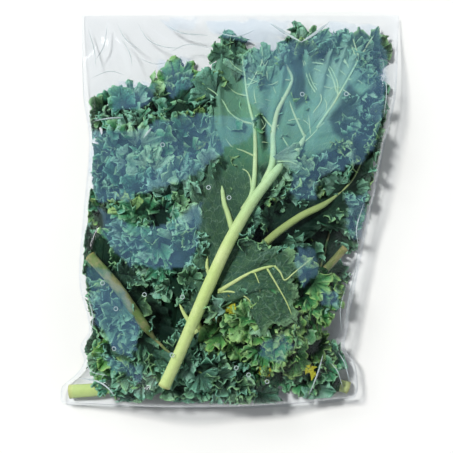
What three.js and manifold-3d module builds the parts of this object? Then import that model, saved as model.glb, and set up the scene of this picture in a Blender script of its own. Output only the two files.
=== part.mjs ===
// A bunch of curly kale: twelve cut leaves packed in a clear, open-mouthed produce bag that lies on its back.
// Millimetres, +Z up, +Y towards the bag's mouth. The origin is on the surface, under the middle of the bag.
import * as THREE from "three";
import { mergeVertices } from "three/addons/utils/BufferGeometryUtils.js";
import Module from "manifold-3d";

const wasm = await Module();
wasm.setup();

// ---------- Driving dimensions: the bag ----------
const BAG_LENGTH = 395;
const FILM = 0.7; // wall of the bag
const SEAL_WIDTH = 2.5; // the welded strip across the closed end
const SEAL_HEIGHT = 8; // how high that strip lies
const SIDE_HEIGHT = 12; // height of the widest line of the bag's sides
const MOUTH_SIDE_HEIGHT = 3.5; // the same at the mouth, where the bag lies nearly flat
const SEAL_RISE = 40; // lengths over which the side line climbs from the seal and from the mouth
const MOUTH_RISE = 120;
const SIDE_ROUNDING = 13; // plan width over which the film turns down at a side
const SEAL_ROUNDING = 12; // plan length over which the film turns down to the seal
const MOUTH_GAP = 7; // least height of the film over the surface
const FILM_CLEARANCE = 3; // from the leaves up to the film
const SEAL_MIDDLE = -10; // x of the seal's lowest point in plan
const SEAL_BOW_LEFT = 4; // how far the strip bows up the bag from there to each corner
const SEAL_BOW_RIGHT = 9;
const SEAL_BOW_FADE = 60; // length over which the bow dies out
const INNER_END = 2.5; // the inside starts this far past the seal
// Plan outline of each side, as [y, x] from the closed end to the mouth.
const LEFT_SIDE = [
  [-197.5, -168],
  [-191, -170],
  [-178, -168],
  [-165, -155],
  [-150, -146],
  [-135, -150],
  [-118, -141],
  [-71, -151],
  [-5, -147],
  [71, -141],
  [116, -147],
  [197.5, -149],
];
const RIGHT_SIDE = [
  [-197.5, 124],
  [-188, 128],
  [-165, 127],
  [-150, 124],
  [-136, 115],
  [-118, 118],
  [-88, 123],
  [-28, 135],
  [16, 145],
  [71, 156],
  [116, 166],
  [197.5, 170],
];

// ---------- Driving dimensions: the leaves ----------
const BLADE = 1.1; // upright thickness of a blade
const RIB_GAP = 0.6; // between a blade and its ribs
const RIB_END = 0.97; // share of the spine where the midrib ends
const LEAF_GAP = 0.9; // between one leaf and the next in the pile
const FLOOR_GAP = 0.4; // what the film under the pile adds to it
const EDGE_INSET = 8; // leaves stay this far inside the bag's outline
const TRIM_STEP = 0.95; // a ray that reaches further or crosses another is shortened by this factor
const MOST_TRIMS = 45;
const LEAST_PLAN_AREA = 0.5; // of a blade's triangle, seen from above
const BASE_ANGLE = 1.25; // radians between the rib and the blade's lowest rays
const RAY_BEND = 0.2; // share of its angle that a ray loses towards its end
const TIP_START = 0.94; // share of the spine where the blade's last rays leave it
const ROWS = [0.45, 0.76, 1]; // shares of a ray's length with a vertex, past the one on the spine
const FRILL_RAYS = 3.3; // rays to a wave of the frill
const FRILL_POWER = 1.6; // how fast the frill grows towards the edge
const FRILL_REACH = 0.06; // share by which the frill lengthens and shortens the rays
const SWELL_SHARE = 0.22; // how much the frill swells and shrinks along the edge
const SWELL_RATE = 1.9; // radians of that swelling from one ray to the next
const LOBES = 5; // lobes along each half of a blade
const LOBE_DEPTH = 0.24;
const PHASE_STEP = 2.4; // radians by which each leaf's waves start further on than the last one's
const RIB_SIDES = 7;
const SIDE_RIB_TAPER = 0.5; // radius of a side rib's end, as a share of its start
const RIB_STEPS = 16;
const SIDE_RIB_STEPS = 8;
const BARE_STEP = 0.01; // shares of the spine at which a bare stalk reads its drape
const TIP_RADIUS = 1.1; // of a rib at the end of the spine
const RIB_TAPER = 2.3; // the taper grows towards the tip by this power
const PILE_CELL = 3; // grid on which the pile of leaves is worked out
const DRAPE_RADIUS = 21; // how far a leaf bridges the hollows below it
const FILM_DRAPE_RADIUS = 27; // and how far the film does
const RIB_DRAPE_RADIUS = 9; // how far a rib bridges the waves of its blade
const SETTLING = 2; // rounds in which a leaf settles on the pile

// Lengths of the rays of one half of a blade, from the leaf's tip to its base, as shares of the longest.
const HALF_BLADE = [0.6, 0.85, 1, 1, 0.95, 0.78, 0.45];
const half = (longest) => HALF_BLADE.map((share) => share * longest);

// The leaves, from the bottom of the pile to the top. A spine runs from the cut end to the tip, and bare is
// the share of it below the blade. left and right hold the rays' lengths from the tip to the base, seen from
// above looking towards the tip. ribs lists [side, share of the spine, share of the ray, radius] of each
// side rib that stands out.
const LEAVES = [
  {
    name: "low_left", // cut end in the bag's lower left corner
    spine: [[-161, -181], [-122, -176], [-80, -156], [-54, -108], [-58, -38], [-70, 22], [-90, 112]],
    bare: 0.27, left: half(72), right: half(76), radius: 7, frill: 6, rayStep: 10, backUp: false,
  },
  {
    name: "low_right", // cut end in the lower right corner
    spine: [[119, -177], [95, -168], [60, -142], [34, -88], [34, -18], [56, 52], [72, 116]],
    bare: 0.27, left: half(66), right: half(68), radius: 6.2, frill: 6, rayStep: 10, backUp: false,
  },
  {
    name: "back_right",
    spine: [[74, -122], [86, -78], [101, -14], [119, 56], [132, 116], [136, 166]],
    bare: 0.16, left: half(60), right: half(40), radius: 5.6, frill: 5.6, rayStep: 10, backUp: true,
  },
  {
    name: "back_left",
    spine: [[-118, -128], [-128, -78], [-124, -18], [-117, 52], [-108, 104]],
    bare: 0.12, left: half(36), right: half(56), radius: 5.4, frill: 6, rayStep: 10, backUp: false,
  },
  {
    name: "back_middle",
    spine: [[6, -176], [0, -108], [-16, -28], [-34, 62], [-54, 134]],
    bare: 0.28, left: half(62), right: half(62), radius: 5.8, frill: 6, rayStep: 10, backUp: false,
  },
  {
    name: "corner_left", // frills in the lower left corner
    spine: [[-58, -177], [-88, -172], [-114, -152], [-124, -118], [-122, -84]],
    bare: 0.14, left: half(36), right: half(34), radius: 4.6, frill: 7, rayStep: 9, backUp: false,
  },
  {
    name: "corner_right", // frills in the lower right corner
    spine: [[26, -98], [52, -122], [78, -144], [94, -168]],
    bare: 0.12, left: half(40), right: half(50), radius: 4.4, frill: 7, rayStep: 9, backUp: false,
  },
  {
    name: "left_curls", // the frilly mass on the left
    spine: [[-30, -118], [-50, -66], [-72, -10], [-92, 46], [-108, 92]],
    bare: 0.12, left: half(62), right: half(72), radius: 5.2, frill: 8.6, rayStep: 8, backUp: false,
  },
  {
    name: "right_arch", // its rib crosses the right half of the bag
    spine: [[-14, -108], [6, -68], [34, -32], [66, -7], [96, 9], [120, 30], [134, 62], [140, 100]],
    bare: 0.3, left: half(54), right: half(42), radius: 5.2, frill: 7.4, rayStep: 8, backUp: true,
  },
  {
    name: "right_curls", // bright frills under the big leaf's stalk
    spine: [[114, -36], [90, -62], [62, -90], [30, -122], [-10, -156]],
    bare: 0.16, left: half(58), right: half(66), radius: 5.2, frill: 8.4, rayStep: 8, backUp: false,
  },
  {
    name: "left_slant", // its rib runs down the left side
    spine: [[-138, -44], [-112, -72], [-92, -100], [-70, -130], [-38, -154], [10, -172]],
    bare: 0.12, left: half(42), right: half(66), radius: 5.8, frill: 8, rayStep: 8, backUp: true,
  },
  {
    name: "front", // the big leaf on top, back side up
    spine: [
      [-67, -176.5], [-50, -140], [-34, -103], [-18, -66], [0, -28], [23, 11], [49, 44], [75, 76], [99, 107],
      [118, 136], [127, 157],
    ],
    bare: 0.2,
    left: [44, 84, 118, 140, 168, 92, 40, 26],
    right: [44, 60, 72, 56, 16, 20, 110, 18],
    radius: 7.1, frill: 7.6, rayStep: 8, backUp: true,
    ribs: [
      ["left", 0.42, 0.5, 2.4],
      ["left", 0.52, 0.92, 3.4],
      ["left", 0.61, 0.8, 3],
      ["left", 0.72, 0.5, 2],
      ["right", 0.23, 0.5, 2],
      ["right", 0.3, 0.62, 2.4],
      ["right", 0.6, 0.5, 2],
    ],
  },
];

// ---------- Colours ----------
const stalkFinish = new THREE.MeshStandardMaterial({ color: 0xa9bd6e, roughness: 0.5 });
const upperFinish = new THREE.MeshStandardMaterial({ color: 0x2c5a35, roughness: 0.6 });
const backFinish = new THREE.MeshStandardMaterial({ color: 0x56826a, roughness: 0.7 });
const filmFinish = new THREE.MeshStandardMaterial({
  color: 0xe6eef2,
  roughness: 0.12,
  transparent: true,
  opacity: 0.25,
});

// ---------- Small helpers ----------
const clamp = (x, low, high) => Math.min(high, Math.max(low, x));
const mix = (a, b, share) => a + (b - a) * share;
const ease = (share) => share * share * (3 - 2 * share);

// Area of a triangle seen from above, positive if its corners run anticlockwise.
const planArea = (a, b, c) => ((b.x - a.x) * (c.y - a.y) - (b.y - a.y) * (c.x - a.x)) / 2;

// The value at share (0 to 1) of evenly spaced values, eased between neighbours.
function along(values, share) {
  const place = clamp(share, 0, 1) * (values.length - 1);
  const low = Math.min(Math.floor(place), values.length - 2);
  return mix(values[low], values[low + 1], ease(place - low));
}

// The smooth curve x(y) through knots [y, x].
function through(knots, y) {
  const last = knots.length - 2;
  let k = 0;
  while (k < last && y > knots[k + 1][0]) k += 1;
  const [y0, x0] = knots[k];
  const [y1, x1] = knots[k + 1];
  const slopeAt = (i) => {
    const before = knots[Math.max(i - 1, 0)];
    const after = knots[Math.min(i + 1, knots.length - 1)];
    return (after[1] - before[1]) / (after[0] - before[0]);
  };
  const run = y1 - y0;
  const t = clamp((y - y0) / run, 0, 1);
  return (
    mix(x0, x1, ease(t)) +
    run * t * (1 - t) * ((1 - t) * slopeAt(k) - t * slopeAt(k + 1))
  );
}

// ---------- The bag's outline ----------
const SEAL_END = -BAG_LENGTH / 2;
const MOUTH_END = BAG_LENGTH / 2;

// How far the bowed seal pushes a point up the bag in plan. y is the height before the push.
function bow(x, y) {
  const side = x < SEAL_MIDDLE ? SEAL_BOW_LEFT : SEAL_BOW_RIGHT;
  const reach = x < SEAL_MIDDLE ? SEAL_MIDDLE - LEFT_SIDE[0][1] : RIGHT_SIDE[0][1] - SEAL_MIDDLE;
  const fade = 1 - ease(clamp((y - SEAL_END) / SEAL_BOW_FADE, 0, 1));
  return side * Math.min(Math.abs(x - SEAL_MIDDLE) / reach, 1) ** 2 * fade;
}

// The height of a point in plan before that push.
function unbowed(x, y) {
  let straight = y;
  for (let round = 0; round < 6; round += 1) straight = y - bow(x, straight);
  return straight;
}

const depthOfSide = (x, y) => Math.min(x - through(LEFT_SIDE, y), through(RIGHT_SIDE, y) - x);
const depthOfSeal = (y) => y - SEAL_END - SEAL_WIDTH;

// How far a point in plan is inside the bag's outline. The mouth is open and doesn't count.
function depthInBag(x, y) {
  const straight = unbowed(x, y);
  return Math.min(depthOfSide(x, straight), depthOfSeal(straight));
}

// Height of the line where the film of the bag's sides stands out furthest.
function sideHeight(y) {
  const fromSeal = ease(clamp((y - SEAL_END) / SEAL_RISE, 0, 1));
  const fromMouth = ease(clamp((MOUTH_END - y) / MOUTH_RISE, 0, 1));
  return mix(SEAL_HEIGHT, mix(MOUTH_SIDE_HEIGHT, SIDE_HEIGHT, fromMouth), fromSeal);
}

// A quarter ellipse: 0 at the outline, 1 once the film has turned.
function turned(depth, rounding) {
  const left = 1 - clamp(depth / rounding, 0, 1);
  return Math.sqrt(1 - left * left);
}

// How far the film has turned from the side line (0) to the bag's faces (1). y is the height before the push.
const turnedAt = (x, y) =>
  Math.min(turned(depthOfSide(x, y), SIDE_ROUNDING), turned(depthOfSeal(y), SEAL_ROUNDING));

function floorAt(x, y) {
  const straight = unbowed(x, y);
  return mix(sideHeight(straight) - FILM, 0, turnedAt(x, straight));
}

// ---------- Height fields over the bag's plan ----------
const PILE_WEST = -176;
const PILE_SOUTH = -200;
const PILE_COLUMNS = 118;
const PILE_LINES = 134;

class HeightField {
  constructor(fill) {
    this.cells = new Float64Array(PILE_COLUMNS * PILE_LINES);
    for (let line = 0; line < PILE_LINES; line += 1)
      for (let column = 0; column < PILE_COLUMNS; column += 1)
        this.cells[line * PILE_COLUMNS + column] = fill(
          PILE_WEST + column * PILE_CELL,
          PILE_SOUTH + line * PILE_CELL,
        );
  }

  // Calls visit(index) for the four cells round a point.
  around(x, y, visit) {
    const column = Math.floor((x - PILE_WEST) / PILE_CELL);
    const line = Math.floor((y - PILE_SOUTH) / PILE_CELL);
    for (const [down, across] of [[0, 0], [0, 1], [1, 0], [1, 1]])
      visit((line + down) * PILE_COLUMNS + column + across);
  }

  at(x, y) {
    const column = (x - PILE_WEST) / PILE_CELL;
    const line = (y - PILE_SOUTH) / PILE_CELL;
    const c = Math.floor(column);
    const l = Math.floor(line);
    const cell = (i, j) => this.cells[j * PILE_COLUMNS + i];
    const south = mix(cell(c, l), cell(c + 1, l), column - c);
    const north = mix(cell(c, l + 1), cell(c + 1, l + 1), column - c);
    return mix(south, north, line - l);
  }

  // Each cell becomes combine() of the cells within a radius. Cells of -Infinity are left out.
  spread(radius, combine) {
    const reach = Math.floor(radius / PILE_CELL);
    const made = new HeightField(() => -Infinity);
    for (let line = 0; line < PILE_LINES; line += 1)
      for (let column = 0; column < PILE_COLUMNS; column += 1) {
        const near = [];
        for (let down = -reach; down <= reach; down += 1)
          for (let across = -reach; across <= reach; across += 1) {
            const [l, c] = [line + down, column + across];
            const distance = Math.hypot(down, across);
            if (distance > reach || l < 0 || c < 0 || l >= PILE_LINES || c >= PILE_COLUMNS) continue;
            const value = this.cells[l * PILE_COLUMNS + c];
            if (value > -Infinity) near.push([value, 1 + reach - distance]);
          }
        if (near.length) made.cells[line * PILE_COLUMNS + column] = combine(near);
      }
    return made;
  }

  // The smooth sheet that rests on this field's peaks.
  draped(radius) {
    const highest = (near) => near.reduce((most, [value]) => Math.max(most, value), -Infinity);
    const average = (near) => {
      const weight = near.reduce((sum, [, w]) => sum + w, 0);
      return near.reduce((sum, [value, w]) => sum + value * w, 0) / weight;
    };
    return this.spread(radius, highest).spread(radius, average);
  }
}

// Calls visit(x, y, z) on points spread over a triangle, closer together than the cells.
function overTriangle([a, b, c], visit) {
  const longest = Math.max(a.distanceTo(b), b.distanceTo(c), c.distanceTo(a));
  const steps = Math.ceil(longest / (0.5 * PILE_CELL));
  for (let i = 0; i <= steps; i += 1)
    for (let j = 0; j <= steps - i; j += 1) {
      const [u, v] = [i / steps, j / steps];
      const w = 1 - u - v;
      visit(a.x * w + b.x * u + c.x * v, a.y * w + b.y * u + c.y * v, a.z * w + b.z * u + c.z * v);
    }
}

function eachPointOf(meshes, visit) {
  for (const { points, faces } of meshes)
    for (const face of faces) overTriangle(face.map((i) => points[i]), visit);
}

// ---------- Shapes in plan ----------
class Leaf {
  constructor(facts, number) {
    Object.assign(this, facts);
    this.number = number;
    this.curve = new THREE.CatmullRomCurve3(
      facts.spine.map(([x, y]) => new THREE.Vector3(x, y, 0)),
      false,
      "catmullrom",
      0.5,
    );
    const length = this.curve.getLength();
    this.rays = Math.round(((TIP_START - this.bare) * length) / this.rayStep);
    this.ribSign = this.backUp ? 1 : -1;
  }

  radiusAt(share) {
    return mix(this.radius, TIP_RADIUS, share ** RIB_TAPER);
  }

  // Share of the spine where ray k leaves it: k is 0 at the tip and this.rays at the blade's base.
  rootOf(k) {
    return mix(TIP_START, this.bare, k / this.rays);
  }

  // The point in plan at share v of ray k, on side +1 (left) or -1 (right).
  pointOnRay(side, k, v) {
    const share = k / this.rays;
    const root = this.rootOf(k);
    const start = this.curve.getPointAt(root);
    const heading = this.curve.getTangentAt(root);
    const bent = side * BASE_ANGLE * Math.sqrt(share) * (1 - RAY_BEND * v);
    const across = new THREE.Vector3(-heading.y, heading.x, 0);
    const run = this.lengthOf(side, k) * v;
    return start.addScaledVector(heading, run * Math.cos(bent)).addScaledVector(across, run * Math.sin(bent));
  }

  // Where ray k is on the waves of the frill, in radians. They run on round the leaf's tip.
  waveOf(side, k) {
    return (-side * k * 2 * Math.PI) / FRILL_RAYS + PHASE_STEP * this.number;
  }

  lengthOf(side, k) {
    this.lengths ??= new Map();
    const key = side * (k + 1);
    if (!this.lengths.has(key)) {
      const share = k / this.rays;
      const lobe = 1 - (LOBE_DEPTH * (1 + Math.cos(2 * Math.PI * LOBES * share + this.number))) / 2;
      const reach = 1 + FRILL_REACH * Math.sin(this.waveOf(side, k));
      this.lengths.set(key, along(side > 0 ? this.left : this.right, share) * lobe * reach);
      const mustTrim = () => this.outside(this.pointOnRay(side, k, 1)) || this.crossed(side, k);
      for (let trims = 0; trims < MOST_TRIMS && mustTrim(); trims += 1)
        this.lengths.set(key, TRIM_STEP * this.lengths.get(key));
    }
    return this.lengths.get(key);
  }

  // Whether ray k runs across the one before it.
  crossed(side, k) {
    if (k === 0) return false;
    const inner = [0, ...ROWS.slice(0, -1)];
    return ROWS.some((v, row) => {
      const [a, b] = [this.pointOnRay(side, k, inner[row]), this.pointOnRay(side, k - 1, inner[row])];
      const [c, d] = [this.pointOnRay(side, k - 1, v), this.pointOnRay(side, k, v)];
      return side * planArea(a, b, d) < LEAST_PLAN_AREA || side * planArea(b, c, d) < LEAST_PLAN_AREA;
    });
  }

  outside({ x, y }) {
    return depthInBag(x, y) < EDGE_INSET || y > MOUTH_END - EDGE_INSET;
  }

  // Height of the frill over the leaf's drape.
  frillAt(side, k, v) {
    const swell = 1 - SWELL_SHARE * (1 - Math.sin(SWELL_RATE * side * k + PHASE_STEP * this.number));
    return this.frill * swell * Math.cos(this.waveOf(side, k)) * v ** FRILL_POWER;
  }
}

// ---------- Meshes ----------
// A closed mesh through rings of points, with a flat cap on each end.
function lofted(rings) {
  const size = rings[0].length;
  const points = rings.flat();
  const faces = [];
  for (let r = 0; r + 1 < rings.length; r += 1)
    for (let i = 0; i < size; i += 1) {
      const [a, b] = [r * size + i, r * size + ((i + 1) % size)];
      faces.push([a, b, b + size], [a, b + size, a + size]);
    }
  const cap = (ring, turn) => {
    const middle = ring.reduce((sum, p) => sum.add(p), new THREE.Vector3()).divideScalar(size);
    const first = points.indexOf(ring[0]);
    points.push(middle);
    for (let i = 0; i < size; i += 1) {
      const [a, b] = [first + i, first + ((i + 1) % size)];
      faces.push(turn ? [b, a, points.length - 1] : [a, b, points.length - 1]);
    }
  };
  cap(rings[0], true);
  cap(rings.at(-1), false);
  return { points, faces };
}

function geometryOf({ points, faces }) {
  const made = new THREE.BufferGeometry().setFromPoints(points);
  made.setIndex(faces.flat());
  return made;
}

// The round bar along points, with a radius at each.
function bar(line, radii) {
  const rings = line.map((point, i) => {
    const ahead = line[Math.min(i + 1, line.length - 1)];
    const behind = line[Math.max(i - 1, 0)];
    const heading = new THREE.Vector3().subVectors(ahead, behind).normalize();
    const across = new THREE.Vector3(-heading.y, heading.x, 0).normalize();
    const up = new THREE.Vector3().crossVectors(heading, across);
    return Array.from({ length: RIB_SIDES }, (_, s) => {
      const turn = (2 * Math.PI * s) / RIB_SIDES;
      return point
        .clone()
        .addScaledVector(across, radii[i] * Math.cos(turn))
        .addScaledVector(up, radii[i] * Math.sin(turn));
    });
  });
  return lofted(rings);
}

// The stalk with its midrib, and the side ribs, as bars on the back of a blade.
function ribBars(leaf, blade, heightAt) {
  // The blade's back, turned up, and the drape where the stalk is bare.
  const back = new HeightField(() => -Infinity);
  const mark = (x, y, z) =>
    back.around(x, y, (i) => {
      back.cells[i] = Math.max(back.cells[i], z * leaf.ribSign);
    });
  eachPointOf([blade], mark);
  for (let share = 0; share < leaf.bare; share += BARE_STEP) {
    const { x, y } = leaf.curve.getPointAt(share);
    mark(x, y, heightAt(x, y));
  }
  const sheet = back.draped(RIB_DRAPE_RADIUS);
  const laid = (plan, radii) => {
    const line = plan.map(({ x, y }) => new THREE.Vector3(x, y, sheet.at(x, y)));
    const lifted = line.map((point, i) => {
      const ahead = line[Math.min(i + 1, line.length - 1)];
      const behind = line[Math.max(i - 1, 0)];
      const slope = (ahead.z - behind.z) / Math.hypot(ahead.x - behind.x, ahead.y - behind.y);
      return point.clone().setZ(leaf.ribSign * (point.z + (RIB_GAP + radii[i]) * Math.hypot(1, slope)));
    });
    return bar(lifted, radii);
  };
  const shares = Array.from({ length: RIB_STEPS + 1 }, (_, i) => (RIB_END * i) / RIB_STEPS);
  const bars = [
    laid(
      shares.map((share) => leaf.curve.getPointAt(share)),
      shares.map((share) => leaf.radiusAt(share)),
    ),
  ];
  for (const [sideName, root, reach, radius] of leaf.ribs ?? []) {
    const side = sideName === "left" ? 1 : -1;
    const k = Math.round(((TIP_START - root) / (TIP_START - leaf.bare)) * leaf.rays);
    const steps = Array.from({ length: SIDE_RIB_STEPS + 1 }, (_, i) => i / SIDE_RIB_STEPS);
    bars.push(
      laid(
        steps.map((share) => leaf.pointOnRay(side, k, reach * share)),
        steps.map((share) => mix(radius, SIDE_RIB_TAPER * radius, share)),
      ),
    );
  }
  return bars;
}

// The blade: rays on both sides of the spine, an upper and a lower sheet, and the rim that joins them.
function bladeMesh(leaf, heightAt) {
  const spine = [];
  for (let k = 0; k <= leaf.rays; k += 1) spine.push([leaf.curve.getPointAt(leaf.rootOf(k)), 0]);
  const rays = [];
  for (let j = 0; j <= 2 * leaf.rays; j += 1) {
    const side = j < leaf.rays ? 1 : -1;
    const k = Math.abs(leaf.rays - j);
    rays.push(ROWS.map((v) => [leaf.pointOnRay(side, k, v), leaf.frillAt(side, k, v)]));
  }
  const placed = [...spine, ...rays.flat()].map(([point, lift]) =>
    point.clone().setZ(heightAt(point.x, point.y) + lift),
  );
  const count = placed.length;
  // Index of the vertex in a row of ray j. Row 0 is the spine, which both sides share.
  const at = (j, row) =>
    row === 0 ? Math.abs(leaf.rays - j) : spine.length + j * ROWS.length + row - 1;
  const sheet = [];
  for (let j = 0; j < 2 * leaf.rays; j += 1)
    for (let row = 0; row < ROWS.length; row += 1) {
      const [a, b] = [at(j, row), at(j + 1, row)];
      const [c, d] = [at(j + 1, row + 1), at(j, row + 1)];
      // The diagonals mirror each other, so that each starts at the vertex nearer the tip.
      if (j < leaf.rays) sheet.push([a, b, d], [b, c, d]);
      else sheet.push([a, b, c], [a, c, d]);
    }
  const rim = [];
  for (let j = 0; j <= 2 * leaf.rays; j += 1) rim.push(at(j, ROWS.length));
  for (let row = ROWS.length - 1; row >= 0; row -= 1) rim.push(at(2 * leaf.rays, row));
  for (let row = 1; row < ROWS.length; row += 1) rim.push(at(0, row));
  const raised = (lift) => placed.map((p) => p.clone().setZ(p.z + lift));
  const faces = [
    ...sheet,
    ...sheet.map(([a, b, c]) => [a + count, c + count, b + count]),
    ...rim.flatMap((a, i) => {
      const b = rim[(i + 1) % rim.length];
      return [
        [a, b, a + count],
        [b, b + count, a + count],
      ];
    }),
  ];
  return { points: [...raised(BLADE / 2), ...raised(-BLADE / 2)], faces };
}

function solidFrom(mesh) {
  const merged = mergeVertices(geometryOf(mesh), 1e-4);
  return new wasm.Manifold(
    new wasm.Mesh({
      numProp: 3,
      vertProperties: merged.attributes.position.array,
      triVerts: new Uint32Array(merged.index.array),
    }),
  );
}

// Joins closed meshes into one geometry.
function joined(meshes) {
  const whole = meshes.map(solidFrom).reduce((sum, solid) => sum.add(solid));
  const { vertProperties, triVerts } = whole.getMesh();
  return new THREE.BufferGeometry()
    .setAttribute("position", new THREE.BufferAttribute(new Float32Array(vertProperties), 3))
    .setIndex(new THREE.BufferAttribute(new Uint32Array(triVerts), 1));
}

// ---------- The pile ----------
// Lays one leaf on the pile: its drape is the smooth sheet on which every part of it clears what lies below.
function lay(leaf, pile) {
  let drape = new HeightField(() => 0);
  const made = () => {
    const heightAt = (x, y) => drape.at(x, y);
    const blade = bladeMesh(leaf, heightAt);
    return [blade, ...ribBars(leaf, blade, heightAt)];
  };
  for (let round = 0; round < SETTLING; round += 1) {
    const needed = new HeightField(() => -Infinity);
    eachPointOf(made(), (x, y, z) => {
      const offset = z - drape.at(x, y);
      needed.around(x, y, (i) => {
        needed.cells[i] = Math.max(needed.cells[i], pile.cells[i] + LEAF_GAP - offset);
      });
    });
    drape = needed.draped(DRAPE_RADIUS);
  }
  const [blade, ...ribs] = made();
  eachPointOf([blade, ...ribs], (x, y, z) =>
    pile.around(x, y, (i) => {
      pile.cells[i] = Math.max(pile.cells[i], z);
    }),
  );
  return { blade: geometryOf(blade), ribs: joined(ribs) };
}

// ---------- The bag ----------
// Places of the bag's vertices across it, as shares of its width, and along it, as lengths from the seal.
const ACROSS = [0, 0.012, 0.045, 0.11, 0.2, 0.3, 0.4, 0.5, 0.6, 0.7, 0.8, 0.89, 0.955, 0.988, 1];
const FIRST_STATIONS = [0, SEAL_WIDTH, SEAL_WIDTH + 1, SEAL_WIDTH + INNER_END, 9, 15, 24, 37];
const STATION_STEP = 19;

// The film's height over the pile, before it turns down at the sides.
function filmField(pile) {
  const needed = new HeightField((x, y) => (depthInBag(x, y) < PILE_CELL ? -Infinity : MOUTH_GAP));
  needed.cells.forEach((least, i) => {
    if (least === -Infinity) return;
    const x = PILE_WEST + (i % PILE_COLUMNS) * PILE_CELL;
    const y = PILE_SOUTH + Math.floor(i / PILE_COLUMNS) * PILE_CELL;
    const straight = unbowed(x, y);
    const side = sideHeight(straight);
    const top = pile.cells[i] + FILM_CLEARANCE + FILM;
    needed.cells[i] = Math.max(least, side + (top - side) / turnedAt(x, straight));
  });
  return needed.draped(FILM_DRAPE_RADIUS);
}

function bagGeometry(pile) {
  const field = filmField(pile);
  const loopAt = (y) => {
    const [west, east] = [through(LEFT_SIDE, y), through(RIGHT_SIDE, y)];
    const side = sideHeight(y);
    const row = (above) =>
      ACROSS.map((share) => {
        const x = mix(west, east, share);
        const bowed = y + bow(x, y);
        const turn = turnedAt(x, y);
        const top = mix(side + FILM, Math.max(field.at(x, bowed), side + FILM), turn);
        return new THREE.Vector3(x, bowed, above ? top : mix(side - FILM, 0, turn));
      });
    // The two side lines are blunt edges, two films thick.
    return [...row(true), ...row(false).reverse()];
  };
  const stations = [...FIRST_STATIONS.map((d) => SEAL_END + d)];
  const rest = Math.ceil((MOUTH_END - stations.at(-1)) / STATION_STEP);
  const from = stations.at(-1);
  for (let i = 1; i <= rest; i += 1) stations.push(mix(from, MOUTH_END, i / rest));
  const outer = stations.map(loopAt);
  const innerStart = FIRST_STATIONS.indexOf(SEAL_WIDTH + INNER_END);
  const inner = outer.slice(innerStart).map((loop) =>
    loop.map((point, i) => {
      const ahead = loop[(i + 1) % loop.length];
      const behind = loop[(i + loop.length - 1) % loop.length];
      const run = new THREE.Vector3().subVectors(ahead, behind).normalize();
      return point.clone().add(new THREE.Vector3(run.z, 0, -run.x).multiplyScalar(FILM));
    }),
  );
  const skin = lofted(outer);
  const hollow = lofted(inner);
  // Both lofts end at the mouth: their last caps give way to the rim that joins them.
  const size = outer[0].length;
  const shift = skin.points.length;
  const open = ({ faces }) => faces.slice(0, faces.length - size);
  const rimStart = (outer.length - 1) * size;
  const innerRimStart = shift + (inner.length - 1) * size;
  const rim = [];
  for (let i = 0; i < size; i += 1) {
    const next = (i + 1) % size;
    rim.push([rimStart + i, rimStart + next, innerRimStart + next]);
    rim.push([rimStart + i, innerRimStart + next, innerRimStart + i]);
  }
  const turnedIn = open(hollow).map(([a, b, c]) => [a + shift, c + shift, b + shift]);
  return geometryOf({
    points: [...skin.points, ...hollow.points],
    faces: [...open(skin), ...turnedIn, ...rim],
  });
}

// ---------- Assembly ----------
const bunch = new THREE.Group();

function add(name, geometry, finish) {
  const mesh = new THREE.Mesh(geometry, finish);
  mesh.name = name;
  bunch.add(mesh);
}

const pile = new HeightField((x, y) => floorAt(x, y) + FILM + FLOOR_GAP);
LEAVES.forEach((facts, number) => {
  const leaf = new Leaf(facts, number);
  const { blade, ribs } = lay(leaf, pile);
  add(`${leaf.name}_blade`, blade, leaf.backUp ? backFinish : upperFinish);
  add(`${leaf.name}_stalk`, ribs, stalkFinish);
});
add("bag", bagGeometry(pile), filmFinish);

export default bunch;
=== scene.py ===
"""Looks of a bunch of curly kale in a clear produce bag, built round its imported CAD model."""

import math
from collections import namedtuple

import bpy
import numpy as np
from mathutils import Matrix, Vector
from mathutils.bvhtree import BVHTree
from mathutils.kdtree import KDTree


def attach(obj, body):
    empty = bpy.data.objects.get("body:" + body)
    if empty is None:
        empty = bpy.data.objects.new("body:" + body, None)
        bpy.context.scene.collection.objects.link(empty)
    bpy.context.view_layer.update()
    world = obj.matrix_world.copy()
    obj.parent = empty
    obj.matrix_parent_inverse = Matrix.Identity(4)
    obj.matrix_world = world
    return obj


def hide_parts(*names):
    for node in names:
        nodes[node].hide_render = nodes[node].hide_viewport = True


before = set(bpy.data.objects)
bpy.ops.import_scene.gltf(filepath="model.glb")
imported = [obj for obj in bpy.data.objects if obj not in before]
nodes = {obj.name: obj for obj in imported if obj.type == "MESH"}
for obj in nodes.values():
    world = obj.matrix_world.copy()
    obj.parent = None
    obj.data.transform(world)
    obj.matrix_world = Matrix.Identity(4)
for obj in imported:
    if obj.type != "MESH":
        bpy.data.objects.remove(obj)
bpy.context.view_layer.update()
MM = 0.001


def new_object(name, data):
    """An object in the scene, at the origin."""
    made = bpy.data.objects.new(name, data)
    bpy.context.scene.collection.objects.link(made)
    return made


# ---------- Camera ----------
CAMERA_PLACE = (-0.0035, -0.015, 1.5)
SIGHT_PLANE = 0.012  # height at which the picture is FRAME_WIDTH wide
FRAME_WIDTH = 0.453
SENSOR = 36.0
CLIP = (0.05, 20)

camera_data = bpy.data.cameras.new("camera")
camera_data.sensor_width = SENSOR
camera_data.lens = SENSOR * (CAMERA_PLACE[2] - SIGHT_PLANE) / FRAME_WIDTH
camera_data.clip_start, camera_data.clip_end = CLIP
camera = new_object("camera", camera_data)
camera.location = CAMERA_PLACE
bpy.context.scene.camera = camera


# ---------- Small helpers ----------
def clamp(x, low, high):
    return np.minimum(high, np.maximum(low, x))


def mix(a, b, share):
    return a + (b - a) * share


def ease(share):
    return share * share * (3 - 2 * share)


def step_between(low, high, x):
    return ease(clamp((x - low) / (high - low), 0.0, 1.0))


def unit(v):
    return v / np.maximum(np.linalg.norm(v, axis=-1, keepdims=True), 1e-9)


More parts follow.
